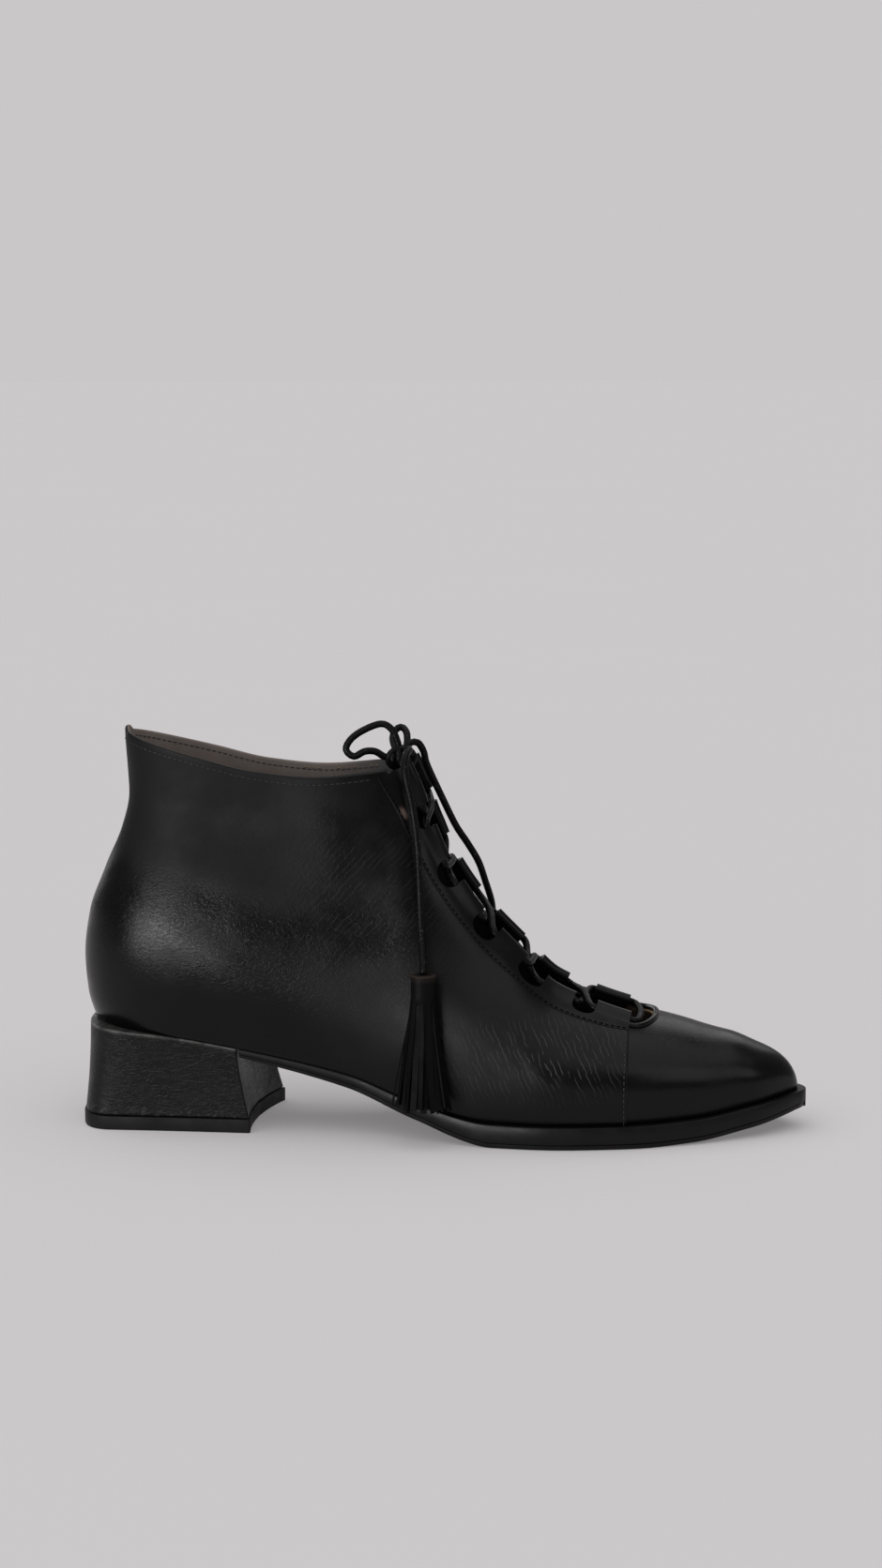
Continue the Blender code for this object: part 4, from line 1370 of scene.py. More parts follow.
@dataclass
class Upper:
    """The leather wall over the foot with its lining, its collar and the seam of the toe piece."""

    throat: Throat
    wall: float = 2.0
    step: float = 0.8
    edge_wall: float = 1.3
    rows: int = 60
    lining_rows: int = 22
    solid_tip: float = 6.4
    inner_tip: float = 4.4
    cut_back: float = 1.5  # the quarter stops this far below the facing's notches
    collar_row: float = 2.0
    seam_row: float = 1.4
    tab: float = 1.7  # height of the back seam's curled end over the collar
    swell: float = 2.0  # height of the fullness beside the heel
    swell_middle: Pair = (-84.0, 62.0)
    swell_reach: Pair = (26.0, 30.0)
    swell_rise: Pair = (36.0, 56.0)  # heights between which it begins
    shaft_back: Pair = (-135.0, -118.0)  # where the shaft begins to draw in
    shaft_front: Pair = (-100.0, -38.0)  # and where that ends
    tuck: tuple[Pair, ...] = ((1.4, 0.28), (0.4, 0.2))  # of the bottom edge: inwards and down
    stitch_rise: float = 0.02  # from the leather's face out to the middle of a stitch
    bare_thread: tuple[Pair, ...] = ((-52.0, 2.6), (-38.5, 3.4), (-27.0, 2.4))
    creases: tuple[Crease, ...] = (
        Crease((8.0, 46.0), (26.0, 20.0), 2.0, 0.06, 1.6),
        Crease((20.0, 47.0), (37.0, 18.0), 2.5, 0.08, 1.5),
        Crease((31.0, 44.0), (47.0, 17.0), 2.5, 0.08, 1.4),
        Crease((42.0, 42.0), (56.0, 17.0), 2.0, 0.08, 1.3),
        Crease((52.0, 38.0), (64.0, 18.0), 1.5, 0.06, 1.2),
        Crease((-40.0, 60.0), (-6.0, 92.0), -3.0, 0.07, 4.0),
        Crease((-52.0, 72.0), (-18.0, 104.0), -3.0, 0.06, 4.4),
        Crease((-112.0, 104.0), (-78.0, 84.0), 2.0, 0.14, 4.0),
        Crease((-104.0, 90.0), (-72.0, 70.0), 2.0, 0.1, 4.0),
        Crease((-108.0, 122.0), (-64.0, 112.0), 2.0, 0.12, 4.5),
    )

    def corner_x(self, side: Side) -> float:
        """Where the quarter's edge under the facing meets the collar."""
        hem = self.throat.hem(side, self.cut_back)
        return float(bisect(*CORNER_SPAN, lambda x: np.interp(x, *hem) > COLLAR.at("height", x))[0])

    def bases(self, side: Side) -> Array:
        """Places of the columns on one side, from the back seam to the tip of the toe."""
        heel_end = LAST.bulge_x + LAST.heel_round
        corner = self.corner_x(side)
        toe = TOE_X - LAST.toe_round
        return np.concatenate(
            [
                spaced(LAST.bulge_x, heel_end, 36, Ease.START),
                spaced(heel_end, corner, 60),
                spaced(corner, SEAM_X - 1.2, 110),
                SEAM_X + np.array([-1.2, -0.6, -0.35, -0.2, -0.08, 0.0, 0.1]),
                spaced(SEAM_X + 0.4, THROAT_END_X, 24, Ease.END),
                spaced(THROAT_END_X, toe, 30),
                spaced(toe, TOE_X, 30, Ease.END),
                [TOE_X],
            ]
        )

    def top(self, side: Side, base: Array) -> Array:
        """Height of the leather's top edge on each column: collar, throat or the ridge over the toes."""
        corner = self.corner_x(side)
        throat = LAST.throat_height(side, np.clip(base, corner, THROAT_END_X))
        hem = self.throat.hem(side, self.cut_back)
        throat = np.where(base < self.throat.zero_x, np.interp(base, *hem), throat)
        collar = LAST.height_on_column(COLLAR, "height", base)
        collar = collar + self.tab * np.exp(-(((base - LAST.bulge_x) / 0.5) ** 2))
        return np.where(base >= THROAT_END_X, LAST.ridge(base), np.where(base >= corner, throat, collar))

    def skin(self, side: Side) -> tuple[Array, Array]:
        """Columns of points on the last, from the bottom edge up."""
        base = self.bases(side)
        low = LAST.height_on_column(FOOT, "seat", base)
        high = self.top(side, base)
        share = np.linspace(0.0, 1.0, self.rows)[None]
        crowd = smoothstep(-10.0, 60.0, base)[:, None]
        z = mix(low[:, None], high[:, None], mix(share, np.sin(share * np.pi / 2), crowd))
        x = LAST.column_x(base[:, None], z)
        points = LAST.point(side, x, z)
        ahead = base >= SEAM_X
        points[ahead, -1, 1] = side.value * LAST.throat_half(base[ahead]) + AXIS_Y
        return base, points

    def creased(self, points: Array) -> Array:
        """How far soft forms and creases move points out of the last, or into it."""
        x, z = points[..., 0], points[..., 2]
        away = [(place - at) / size for place, at, size in zip((x, z), self.swell_middle, self.swell_reach)]
        depth = self.swell * np.exp(-(away[0] ** 2) - away[1] ** 2) * smoothstep(*self.swell_rise, z)
        sides = smoothstep(*self.shaft_back, x) * (1 - smoothstep(*self.shaft_front, x))
        depth = depth - SHAFT.at("drawn", z) * sides
        for crease in self.creases:
            start, end = np.array(crease.start), np.array(crease.end)
            run = end - start
            length = np.linalg.norm(run)
            along, across = run / length, np.array([-run[1], run[0]]) / length
            place = points[..., [0, 2]] - start
            t = np.clip(place @ along / length, -0.2, 1.2)
            away = place @ across - crease.bow * 4 * t * (1 - t)
            fade = smoothstep(-0.15, 0.25, t) * (1 - smoothstep(0.75, 1.15, t))
            trough = np.exp(-((away / crease.width) ** 2)) * fade
            ridge = np.exp(-(((np.abs(away) - 2.2 * crease.width) / crease.width) ** 2)) * fade
            depth += crease.depth * (0.45 * ridge - trough)
        return depth

    def creasing(self, points: Array) -> dict[str, Array]:
        """Where the leather is lined, grained and less polished.

        Args:
            points: points on the leather.

        Returns:
            Four masks from 0 to 1, by attribute name: a fan of lines over the ball, slanting lines in front
            of the ankle, fine grain, and matte patches.
        """
        x, z = points[..., 0], points[..., 2]

        def patch(at: Pair, reach: Pair) -> Array:
            """A soft-edged patch in the side view."""
            return np.exp(-(((x - at[0]) / reach[0]) ** 4) - ((z - at[1]) / reach[1]) ** 4)

        quarter = 1 - smoothstep(SEAM_X - 3.0, SEAM_X - 1.0, x)
        fan = patch((37.0, 33.0), (34.0, 13.0)) * quarter
        slant = 0.36 * patch((-26.0, 88.0), (26.0, 24.0))
        above_band = smoothstep(46.0, 64.0, z + 0.32 * (x + 100.0))
        grain = 0.2 + 0.8 * patch((-86.0, 92.0), (44.0, 34.0)) + 0.5 * patch((-40.0, 66.0), (40.0, 22.0))
        vamp = 0.9 * patch((90.0, 40.0), (14.0, 9.0))
        grain = np.where(x < SEAM_X, grain * mix(0.15, 1.0, above_band), 0.12 + vamp)
        matte = smoothstep(92.0, 106.0, z + 0.25 * (x + 104.0)) * (1 - smoothstep(-66.0, -34.0, x))
        matte = np.maximum(matte, 0.75 * patch((16.0, 32.0), (22.0, 20.0)))
        matte = np.maximum(matte, 0.6 * patch((-24.0, 44.0), (24.0, 22.0)))
        return {"fan": fan, "slant": slant, "grain": np.clip(grain, 0.0, 1.0), "matte": matte}

    def build(self, finishes: Finishes, sewing: Sewing) -> list[bpy.types.Object]:
        """Makes the wall and its rows of stitches.

        Args:
            finishes: the materials.
            sewing: lays the stitches.

        Returns:
            The pieces.
        """
        (outer_base, outer), (inner_base, inner) = (self.skin(side) for side in Side)
        base = np.concatenate([outer_base[::-1], inner_base[1:]])
        skin = np.concatenate([outer[::-1], inner[1:]])
        normal = unit(np.cross(np.gradient(skin, axis=0), np.gradient(skin, axis=1)))
        normal[:, 0, 2] = 0.0
        normal = unit(normal)
        over = base >= THROAT_END_X
        slope = LAST.ridge(base[over] + 0.3) - LAST.ridge(base[over] - 0.3)
        normal[over, -1] = unit(np.stack([-slope, np.zeros(over.sum()), np.full(over.sum(), 0.6)], -1))
        tip = base >= TOE_X - 1e-6
        normal[tip] = unit(np.array([1.0, 0.0, 0.25]))
        outward = np.sign(((skin - [0, AXIS_Y, 0]) * normal)[..., 1].sum())
        normal = normal * (1.0 if outward > 0 else -1.0)
        normal[over, -1] *= np.sign(normal[over, -1][:, 2:])
        normal[tip] *= np.sign(normal[tip][..., :1])
        raised = self.step * (1 - smoothstep(SEAM_X - 0.3, SEAM_X, base))
        depth = self.creased(skin)
        hem = skin + normal * (raised[:, None] + depth)[..., None]
        picked = np.unique(np.linspace(0, self.rows - 1, self.lining_rows).round().astype(int))[::-1]
        to_edge = np.linalg.norm(skin[:, picked] - skin[:, -1:], axis=-1)
        thick = mix(self.edge_wall, self.wall, smoothstep(0.0, 7.0, to_edge))
        lining = skin[:, picked] - normal[:, picked] * thick[..., None]
        closed = base > TOE_X - self.solid_tip
        lining[closed] = (TOE_X - self.inner_tip, AXIS_Y, float(FOOT.at("seat", TOE_X)))
        edge_out, edge_in = hem[:, -1], lining[:, 0]
        up = unit(hem[:, -1] - hem[:, -3])
        angle = np.linspace(0.0, np.pi, 9)[1:-1]
        middle, arm = (edge_out + edge_in) / 2, (edge_out - edge_in) / 2
        bulge = np.linalg.norm(arm, axis=-1)[:, None]
        turn = np.stack([np.cos(angle), np.sin(angle)], -1)[None, ..., None]
        rim = middle[:, None] + arm[:, None] * turn[:, :, 0] + (up * bulge)[:, None] * turn[:, :, 1]
        rim[over] = edge_out[over][:, None]
        flat = normal[:, 0]
        curl = np.stack([hem[:, 0] - flat * inward + [0.0, 0.0, -down] for inward, down in self.tuck], 1)
        ring = np.concatenate([hem, rim, lining, curl], 1)
        sheet = Sheet()
        marks = {}
        for name, mask in self.creasing(skin).items():
            marks[name] = np.zeros(ring.shape[:-1])
            marks[name][:, : self.rows] = mask
        x = ring[..., 0]
        # painted shade on the lining, deep inside the boot under the throat
        marks["forward"] = smoothstep(-46.0, -20.0, x) * (1 - smoothstep(60.0, 70.0, x))
        numbers = sheet.add(ring, **marks)
        count = ring.shape[1]
        column = np.arange(count)
        part = ((column >= self.rows + 3) & (column < self.rows + len(angle) + len(picked))).astype(int)
        keep = np.ones((len(base) - 1, count), bool)
        both_over = over[:-1] & over[1:]
        keep[np.ix_(both_over, (column >= self.rows - 1) & (column < self.rows + len(angle)))] = False
        sheet.skin(numbers, part[None], around=True, keep=keep)
        mesh = sheet.mesh("upper_leather", 0.01)
        materials = [finishes.upper, finishes.lining]
        piece = place_piece("upper_leather", mesh, materials, 60.0, ["upper"])
        return [piece, *self.sew(finishes, sewing)]

    def sew(self, finishes: Finishes, sewing: Sewing) -> list[bpy.types.Object]:
        """The rows of stitches round the collar and behind the toe piece's seam."""
        collar, inside, seams = [], [], []
        for side in Side:
            base = np.linspace(LAST.bulge_x + 0.4, self.throat.corner_x(side) - 9.0, 260)
            z = LAST.height_on_column(COLLAR, "height", base) - self.collar_row
            x = LAST.column_x(base, z)
            normal = LAST.normal(side, x, z)
            place = LAST.point(side, x, z)
            collar.append(place + normal * (self.step + self.stitch_rise + self.creased(place))[:, None])
            inside.append(LAST.point(side, x, z + 0.4) - normal * (self.edge_wall + 0.25))
            x = SEAM_X - self.seam_row
            z = np.linspace(float(FOOT.at("seat", x)) + 0.6, float(LAST.throat_height(side, x)) - 2.5, 160)
            x = np.full(z.shape, x)
            seams.append(LAST.point(side, x, z) + LAST.normal(side, x, z) * (self.step + self.stitch_rise))
        far = inside[list(Side).index(Side.INNER)]
        bare = [far[np.abs(far[:, 0] - x) < half] for x, half in self.bare_thread]
        return [
            sewing.row("collar_stitches", collar, finishes.thread),
            sewing.row("lining_stitches", inside, finishes.thread),
            sewing.row("bare_stitches", [run + [0.0, 0.0, 0.7] for run in bare], finishes.tan),
            sewing.row("toe_seam_stitches", seams, finishes.thread),
        ]


@dataclass
class Sole:
    """The outsole from the heel's breast to the toe."""

    lip: float = 2.2
    lip_share: float = 0.4
    toe_round: float = 20.0
    start_x: float = -71.6
    fade: float = 40.0
    turn: float = math.tan(math.radians(6.8))
    hollow: float = 3.2
    room: float = 0.35
    # Steps in and up from the upper face, from the groove and from the underside
    steps: tuple[Pair, ...] = ((0.55, 0.0), (0.18, -0.12), (0.0, -0.5))
    low_steps: tuple[Pair, ...] = (
        (0.0, 0.5),
        (0.08, 0.22),
        (0.35, 0.08),
        (1.15, 0.0),
        (1.15, -0.25),
        (0.9, -0.45),
    )
    foot_steps: tuple[Pair, ...] = ((0.9, 0.55), (1.0, 0.25), (1.3, 0.06), (1.7, 0.0))

    def top(self, x: Array) -> Array:
        """Height of the sole's upper face."""
        return FOOT.at("seat", x) - self.room

    def bottom(self, x: Array) -> Array:
        """Height of its underside."""
        return np.maximum(self.top(x) - SOLE.at("thick", x), 0.0)

    def half(self, side: Side, x: Array) -> Array:
        """Half width of the sole."""
        return (FOOT.at(side.word, x) + SOLE.at("edge", x)) * rounded((SOLE_TIP_X - x) / self.toe_round)

    def bend(self, x: Array, y: Array) -> Array:
        """How the rear end follows the heel's breast."""
        share = 1 - smoothstep(self.start_x, self.start_x + self.fade, x)
        half = FOOT.at("outer", self.start_x)
        return share * (self.turn * y + self.hollow * (((y - AXIS_Y) / half) ** 2 - 1))

    def build(self, finishes: Finishes) -> bpy.types.Object:
        """Makes the sole with its rounded edge, the groove and the set-back lower layer."""
        toe = SOLE_TIP_X - self.toe_round
        tip = spaced(toe, SOLE_TIP_X, 40, Ease.END)
        x = np.concatenate([spaced(self.start_x, toe, 120), tip, [SOLE_TIP_X]])
        thick = self.top(x) - self.bottom(x)
        lip = np.minimum(self.lip / thick, self.lip_share) * thick
        groups = (
            (self.steps, self.top(x)),
            (self.low_steps, self.bottom(x) + lip),
            (self.foot_steps, self.bottom(x)),
        )
        levels = [(inset, level, rise) for group, level in groups for inset, rise in group]
        sides = {}
        for side in Side:
            half = self.half(side, x)
            line = np.stack([x, side.value * half + AXIS_Y], -1)
            run = np.gradient(line, axis=0)
            inward = unit(np.stack([run[:, 1], -run[:, 0]], -1)) * side.value
            inward[-1] = (-1.0, 0.0)
            rows = []
            for inset, height, rise in levels:
                flat = line + inward * np.minimum(inset, half * 0.9 + 0.05)[:, None]
                flat[:, 0] += self.bend(x, flat[:, 1])
                drop = self.top(flat[:, 0]) - self.top(x)
                z = height + rise * np.minimum(1.0, thick / 5.0) + drop
                rows.append(np.column_stack([flat, np.maximum(z, 0.0)]))
            sides[side] = np.stack(rows, 1)
        outer, inner = sides[Side.OUTER], sides[Side.INNER]
        t = np.linspace(0.0, 1.0, 12)[1:-1]
        under = outer[:, -1:] + (inner[:, -1:] - outer[:, -1:]) * t[None, :, None]
        over = inner[:, :1] + (outer[:, :1] - inner[:, :1]) * t[None, :, None]
        ring = np.concatenate([outer, under, inner[:, ::-1], over], 1)
        sheet = Sheet()
        numbers = sheet.add(ring)
        sheet.skin(numbers, around=True)
        sheet.cap(numbers[0])
        return place_piece("sole", sheet.mesh("sole", 0.01), [finishes.sole], 40.0, ["outsole"])


@dataclass
class Heel:
    """The covered block and the rubber top-lift under it."""

    sole: Sole
    lift: float = 5.2
    lift_edge: float = 0.5
    room: float = 0.35
    back: Pair = (-134.4, -136.6)  # at the top and on the floor
    front: Pair = (-72.6, -68.4)
    corner: Pair = (24.0, 14.0)
    power: float = 2.7
    rim: float = 0.9
    breast_corner: float = 0.8
    middle_x: float = -103.0
    # Roundings of the top and bottom edges: depth, and share of the height
    top_round: Pair = (0.55, 0.016)
    foot_round: Pair = (0.5, 0.015)
    waist: float = 0.5
    rim_highlight: Pair = (0.016, 0.014)  # middle and reach of the painted highlight along the top rim
    scuffed: Pair = (0.96, 0.05)  # middle and reach of the flecks
    scuff: float = 0.5

    def outline(self, level: int, extra: float = 0.0, grow: float = 0.0) -> Array:
        """Plan of the heel at its top (0) or on the floor (1), from the breast's outer corner round the back.

        Args:
            level: 0 or 1.
            extra: added to the half widths.
            grow: added at the back and the front.

        Returns:
            Points in x and y, the breast's own run at the end.
        """
        back, front, corner = self.back[level] - grow, self.front[level] + grow, self.corner[level]
        widths = (FOOT, HEEL)[level]
        half = float(widths.at("outer", front))
        share = [spaced(0.0, 0.35, 40, Ease.START), spaced(0.35, 0.97, 40), spaced(0.97, 1.0, 8), [1.0]]
        share = np.concatenate(share)
        x = mix(back, front, share)
        full = rounded((x - back) / corner, self.power)
        past = np.clip((x - front) / self.breast_corner + 1, 0, 1)
        round_off = self.breast_corner * (1 - np.sqrt(1 - past**2))

        def bent(px: Array, y: Array, weight: Array | float) -> Array:
            """Plan points moved as the breast is turned and hollowed."""
            bend = self.sole.turn * y + self.sole.hollow * (((y - AXIS_Y) / half) ** 2 - 1)
            return np.stack([px + weight * bend, y], -1)

        sides = {}
        for side in Side:
            y = side.value * ((widths.at(side.word, x) + extra) * full - round_off) + AXIS_Y
            sides[side] = bent(x, y, share**3)
        breast_y = np.linspace(sides[Side.INNER][-1, 1], sides[Side.OUTER][-1, 1], 42)[1:-1]
        groove = 0.45 * np.exp(-(((breast_y - AXIS_Y) / 0.5) ** 2))
        breast = bent(np.full(breast_y.shape, front) - groove, breast_y, 1.0)
        return np.vstack([sides[Side.OUTER][::-1], sides[Side.INNER][1:], breast])

    def build(self, finishes: Finishes) -> list[bpy.types.Object]:
        """Makes the covered block and the top-lift."""
        top, foot = self.outline(0, self.rim), self.outline(1)
        foot_z = self.lift + self.room
        middle = np.array([self.middle_x, AXIS_Y])

        def drawn_in(plan: Array, inset: float) -> Array:
            """A plan made smaller towards its middle."""
            return plan + unit(middle - plan) * inset

        edges = ([0.0, 0.006, 0.016, 0.03], [0.97, 0.985, 0.995, 1.0])
        shares = np.concatenate([edges[0], np.linspace(0.05, 0.95, 32), edges[1]])
        rows = []
        for share in shares:
            inset = self.waist * math.sin(math.pi * share)
            for (depth, reach), away in ((self.top_round, share), (self.foot_round, 1 - share)):
                inset += depth * (1 - rounded(away / reach))
            plan = drawn_in(mix(top, foot, share), inset)
            rows.append(np.column_stack([plan, mix(self.sole.top(plan[:, 0]), foot_z, share)]))
        # the rim mark is a painted highlight along the block's top rim
        rim_highlight, worn = (
            np.repeat(np.exp(-(((shares - at) / reach) ** 2))[:, None], len(top), 1)
            for at, reach in (self.rim_highlight, self.scuffed)
        )
        sheet = Sheet()
        sheet.barrel(np.array(rows), flip=True, worn=self.scuff * worn, rim=rim_highlight)
        mesh = sheet.mesh("heel_cover", 0.01)
        block = place_piece("heel_cover", mesh, [finishes.heel], 60.0, ["heel_block"])
        plan = self.outline(1, self.lift_edge, self.lift_edge)
        high = self.lift
        levels = ((0.5, high), (0.12, high - 0.12), (0.0, high - 0.5), (0.0, 0.5), (0.15, 0.12), (0.5, 0.0))
        sheet = Sheet()
        rows = [np.column_stack([drawn_in(plan, inset), np.full(len(plan), z)]) for inset, z in levels]
        sheet.barrel(np.array(rows), flip=True)
        mesh = sheet.mesh("heel_top_lift", 0.01)
        lift = place_piece("heel_top_lift", mesh, [finishes.rubber], 40.0, ["top_lift"])
        return [block, lift]


@dataclass
class Tassel:
    """A leather tassel: bound head and hanging strips."""

    name: str
    top: Point
    lean: float
    node: str
    length: float = 50.0
    head: float = 10.0
    strips: int = 33
    seed: int = 11
    spread: Pair = (10.6, 3.8)
    stray: int = 17  # the strip that hangs away from the others
    half_thick: float = 0.32
    sides: int = 30

    def build(self, finishes: Finishes) -> list[bpy.types.Object]:
        """Makes the rolled head and the strips that it is cut into."""
        chance = np.random.default_rng(self.seed)
        top = np.array(self.top)
        sheet = Sheet()
        end = self.head
        down = np.array([0.0, 0.0, 0.15, 0.6, 3.0, 7.0, end - 0.8, end, end + 2.0])
        size = np.array([2.0, 4.25, 4.5, 4.6, 4.6, 4.6, 4.55, 4.3, 3.2])
        angle = 2 * np.pi * np.arange(self.sides) / self.sides
        ring = np.stack([np.cos(angle) * 1.02, np.sin(angle) * 0.98, np.zeros(self.sides)], -1)
        lap = 1 + 0.07 * smoothstep(4.0, 4.15, angle) * (1 - smoothstep(4.15, 5.4, angle))
        lean = np.stack([np.zeros(len(down)), self.lean * down / self.length, -down], -1)
        light = np.array([0.0, 0.5, 1.0, 0.3, 0.0, 0.0, 0.0, 0.0, 0.0])
        head = top + lean[:, None] + ring[None] * size[:, None, None] * lap[None, :, None]
        sheet.barrel(head, cut=np.repeat(light[:, None], self.sides, 1))
        t = np.linspace(0.0, 1.0, 14)
        for i in range(self.strips):
            turn = 2 * np.pi * (i + 0.3 * chance.uniform(-1, 1)) / self.strips
            inner = (1.0, 0.62, 0.86)[i % 3]
            round_off = np.array([math.cos(turn), math.sin(turn)])
            out = 1.22 if i == self.stray else chance.uniform(0.84, 1.05)
            reach = round_off * self.spread * inner * out
            start = round_off * (4.3, 4.1) * (0.55 + 0.45 * inner)
            long = self.length - self.head + 1.4 + chance.uniform(-2.2, 0.6)
            sway = chance.uniform(-1.0, 1.0) * np.sin(np.pi * t) * t
            flat = start + (reach - start) * (t**1.15)[:, None]
            z = -(self.head - 1.4) - long * t
            route = np.stack([flat[:, 0] + sway, flat[:, 1] + self.lean * -z / self.length, z], -1) + top
            face = turn + chance.uniform(-0.6, 0.6) * t
            half = chance.uniform(0.7, 0.8) + chance.uniform(0.3, 0.6) * smoothstep(0.0, 0.35, t)[:, None]
            level = np.zeros(len(t))
            wide = np.stack([-np.sin(face), np.cos(face), level], -1) * half
            thin = np.stack([np.cos(face), np.sin(face), level], -1) * self.half_thick
            section = np.stack([-wide - thin, wide - thin, wide + thin, -wide + thin], 1)
            sheet.barrel(route[:, None] + section, cut=0.0)
        mesh = sheet.mesh(self.name, 1e-4)
        return [place_piece(self.name, mesh, [finishes.tassel], 50.0, [self.node])]


@dataclass
class Lace:
    """The waxed cord: crossings through the loops, knot, bow and two ends with their tassels."""

    throat: Throat
    radius: float = 1.35
    reach: float = 2.4
    cross: float = 1.6
    bar_forward: float = 2.0
    knot: Point = (-16.0, AXIS_Y, 138.8)
    knot_half: Point = (5.4, 4.8, 4.5)
    knot_turns: float = 3.2
    band_turns: float = 1.15  # of the cord over the knot
    step: float = 1.2
    path_points: int = 32
    back_loop: tuple[Point, ...] = (
        (-22.3, 1.4, 139.6),
        (-25.6, 0.8, 141.6),
        (-29.6, 0.3, 141.6),
        (-33.6, 0.1, 139.7),
        (-36.6, 0.6, 142.2),
        (-34.9, 1.4, 146.0),
        (-30.2, 2.2, 149.4),
        (-23.6, 2.9, 151.8),
        (-19.6, 2.9, 149.8),
        (-17.4, 2.7, 145.2),
    )
    upright_loop: tuple[Point, ...] = (
        (-14.6, 7.6, 142.2),
        (-14.4, 10.6, 144.8),
        (-15.2, 14.6, 147.6),
        (-17.4, 17.4, 148.9),
        (-19.6, 16.4, 147.6),
        (-20.2, 13.4, 145.2),
        (-19.6, 10.6, 143.2),
        (-18.6, 8.2, 141.8),
    )
    outer_end: tuple[Point, ...] = (
        (-12.6, -3.6, 142.0),
        (-12.0, -8.6, 143.6),
        (-12.8, -15.2, 141.2),
        (-12.4, -18.4, 135.0),
        (-9.6, -20.6, 122.6),
        (-7.6, -23.4, 109.0),
        (-6.6, -26.8, 95.0),
        (-5.7, -30.4, 80.0),
        (-4.9, -33.8, 71.5),
        (-4.4, -37.2, 65.0),
    )
    inner_end: tuple[Point, ...] = (
        (-12.6, 3.4, 144.6),
        (-9.8, 4.2, 144.6),
        (-7.8, 6.0, 141.0),
        (-6.6, 8.4, 135.4),
        (-1.2, 14.2, 121.8),
        (3.3, 19.0, 111.1),
        (7.8, 21.5, 103.6),
        (11.7, 23.5, 96.4),
        (14.1, 25.5, 88.8),
        (16.4, 29.0, 79.8),
        (16.4, 33.6, 72.4),
        (15.4, 37.8, 65.0),
        (14.2, 41.6, 58.2),
    )

    def run(self, side: Side) -> list[Array]:
        """Turning points from the lowest loop of a side up to the knot, crossing at every loop."""
        points: list[Array] = []
        over = -side.value * self.cross
        here = side
        for number in range(6):
            middle, half, out = self.throat.loop_axis(here, number)
            reach = half * (1 + self.reach / np.linalg.norm(half))
            if points:
                lift = unit(np.array([out[0], 0.0, out[2]])) * over
                points.append((points[-1] + middle - reach) / 2 + lift)
            points += [middle - reach, middle - half * 0.6, middle + half * 0.6, middle + reach]
            here = Side(-here.value)
        points.append(np.array(self.knot))
        return points

    def cord(self, name: str, route: Array, node: str, finishes: Finishes) -> bpy.types.Object:
        """Makes a stretch of cord that stands for a node."""
        mesh = tube(name, route, self.radius)
        return place_piece(name, mesh, [finishes.cord], nodes=[node])

    def build_knot(self, finishes: Finishes) -> bpy.types.Object:
        """The knot: cord wound round itself."""
        centre, half = np.array(self.knot), np.array(self.knot_half)
        t = np.linspace(0.0, 1.0, 150)
        turns = 2 * np.pi * self.knot_turns * t
        swing = np.sin(np.pi * (2 * t - 1) / 2)
        inner = half - self.radius
        round_x = np.stack([swing * inner[0] * 0.8, np.cos(turns) * inner[1], np.sin(turns) * inner[2]], -1)
        round_x[:, 1:] *= np.sqrt(np.maximum(1 - (0.75 * swing) ** 2, 0.2))[:, None]
        slant = 2 * np.pi * self.band_turns * np.linspace(0.0, 1.0, 70) + 0.6
        reach = (inner[0] + 0.5, 1.6, inner[2] + 0.6)
        over = np.stack([np.cos(slant), np.cos(slant), np.sin(slant)], -1) * reach
        over[:, 1] += np.linspace(-1.2, 1.6, 70)
        wound = tube("wound", centre + round_x, self.radius)
        band = tube("band", centre + over, self.radius * 0.96)
        shape = bmesh.new()
        shape.from_mesh(wound)
        shape.from_mesh(band)
        shape.to_mesh(wound)
        shape.free()
        wound.shade_smooth()
        return place_piece("lace_knot_wound", wound, [finishes.cord], nodes=["lace_knot"])

    def build(self, finishes: Finishes) -> list[bpy.types.Object]:
        first, second = self.run(Side.OUTER), self.run(Side.INNER)
        bar = (first[0] + second[0]) / 2 + np.array([self.bar_forward, 0.0, 0.0])
        route = smooth_route([*first[::-1], bar, *second], self.step)
        pieces = [self.cord("lace_crossings", route, "lace", finishes)]
        knot = self.build_knot(finishes)
        outer = Tassel("tassel_near", (-4.3, -37.8, 64.2), -5.2, "tassel_outer").build(finishes)
        inner = Tassel("tassel_far", (14.0, 42.4, 57.4), 1.2, "tassel_inner", seed=23).build(finishes)
        centre = np.array(self.knot)
        for name, points, node, far_end, with_pieces in (
            ("bow_back", self.back_loop, "bow_loop_back", "object", []),
            ("bow_upright", self.upright_loop, "bow_loop_upright", "object", []),
            ("end_near", self.outer_end, "lace_end_outer", "fitting", outer),
            ("end_far", self.inner_end, "lace_end_inner", "fitting", inner),
        ):
            route = np.array(points, float)
            route = np.vstack([mix(route[0], centre, 0.5), route])
            if far_end == "object":
                route = np.vstack([route, mix(route[-1], centre, 0.5)])
            route = smooth_route(route, self.step)
            piece = self.cord(name, route, node, finishes)
            pieces.append(piece)
        return [*pieces, knot, *outer, *inner]


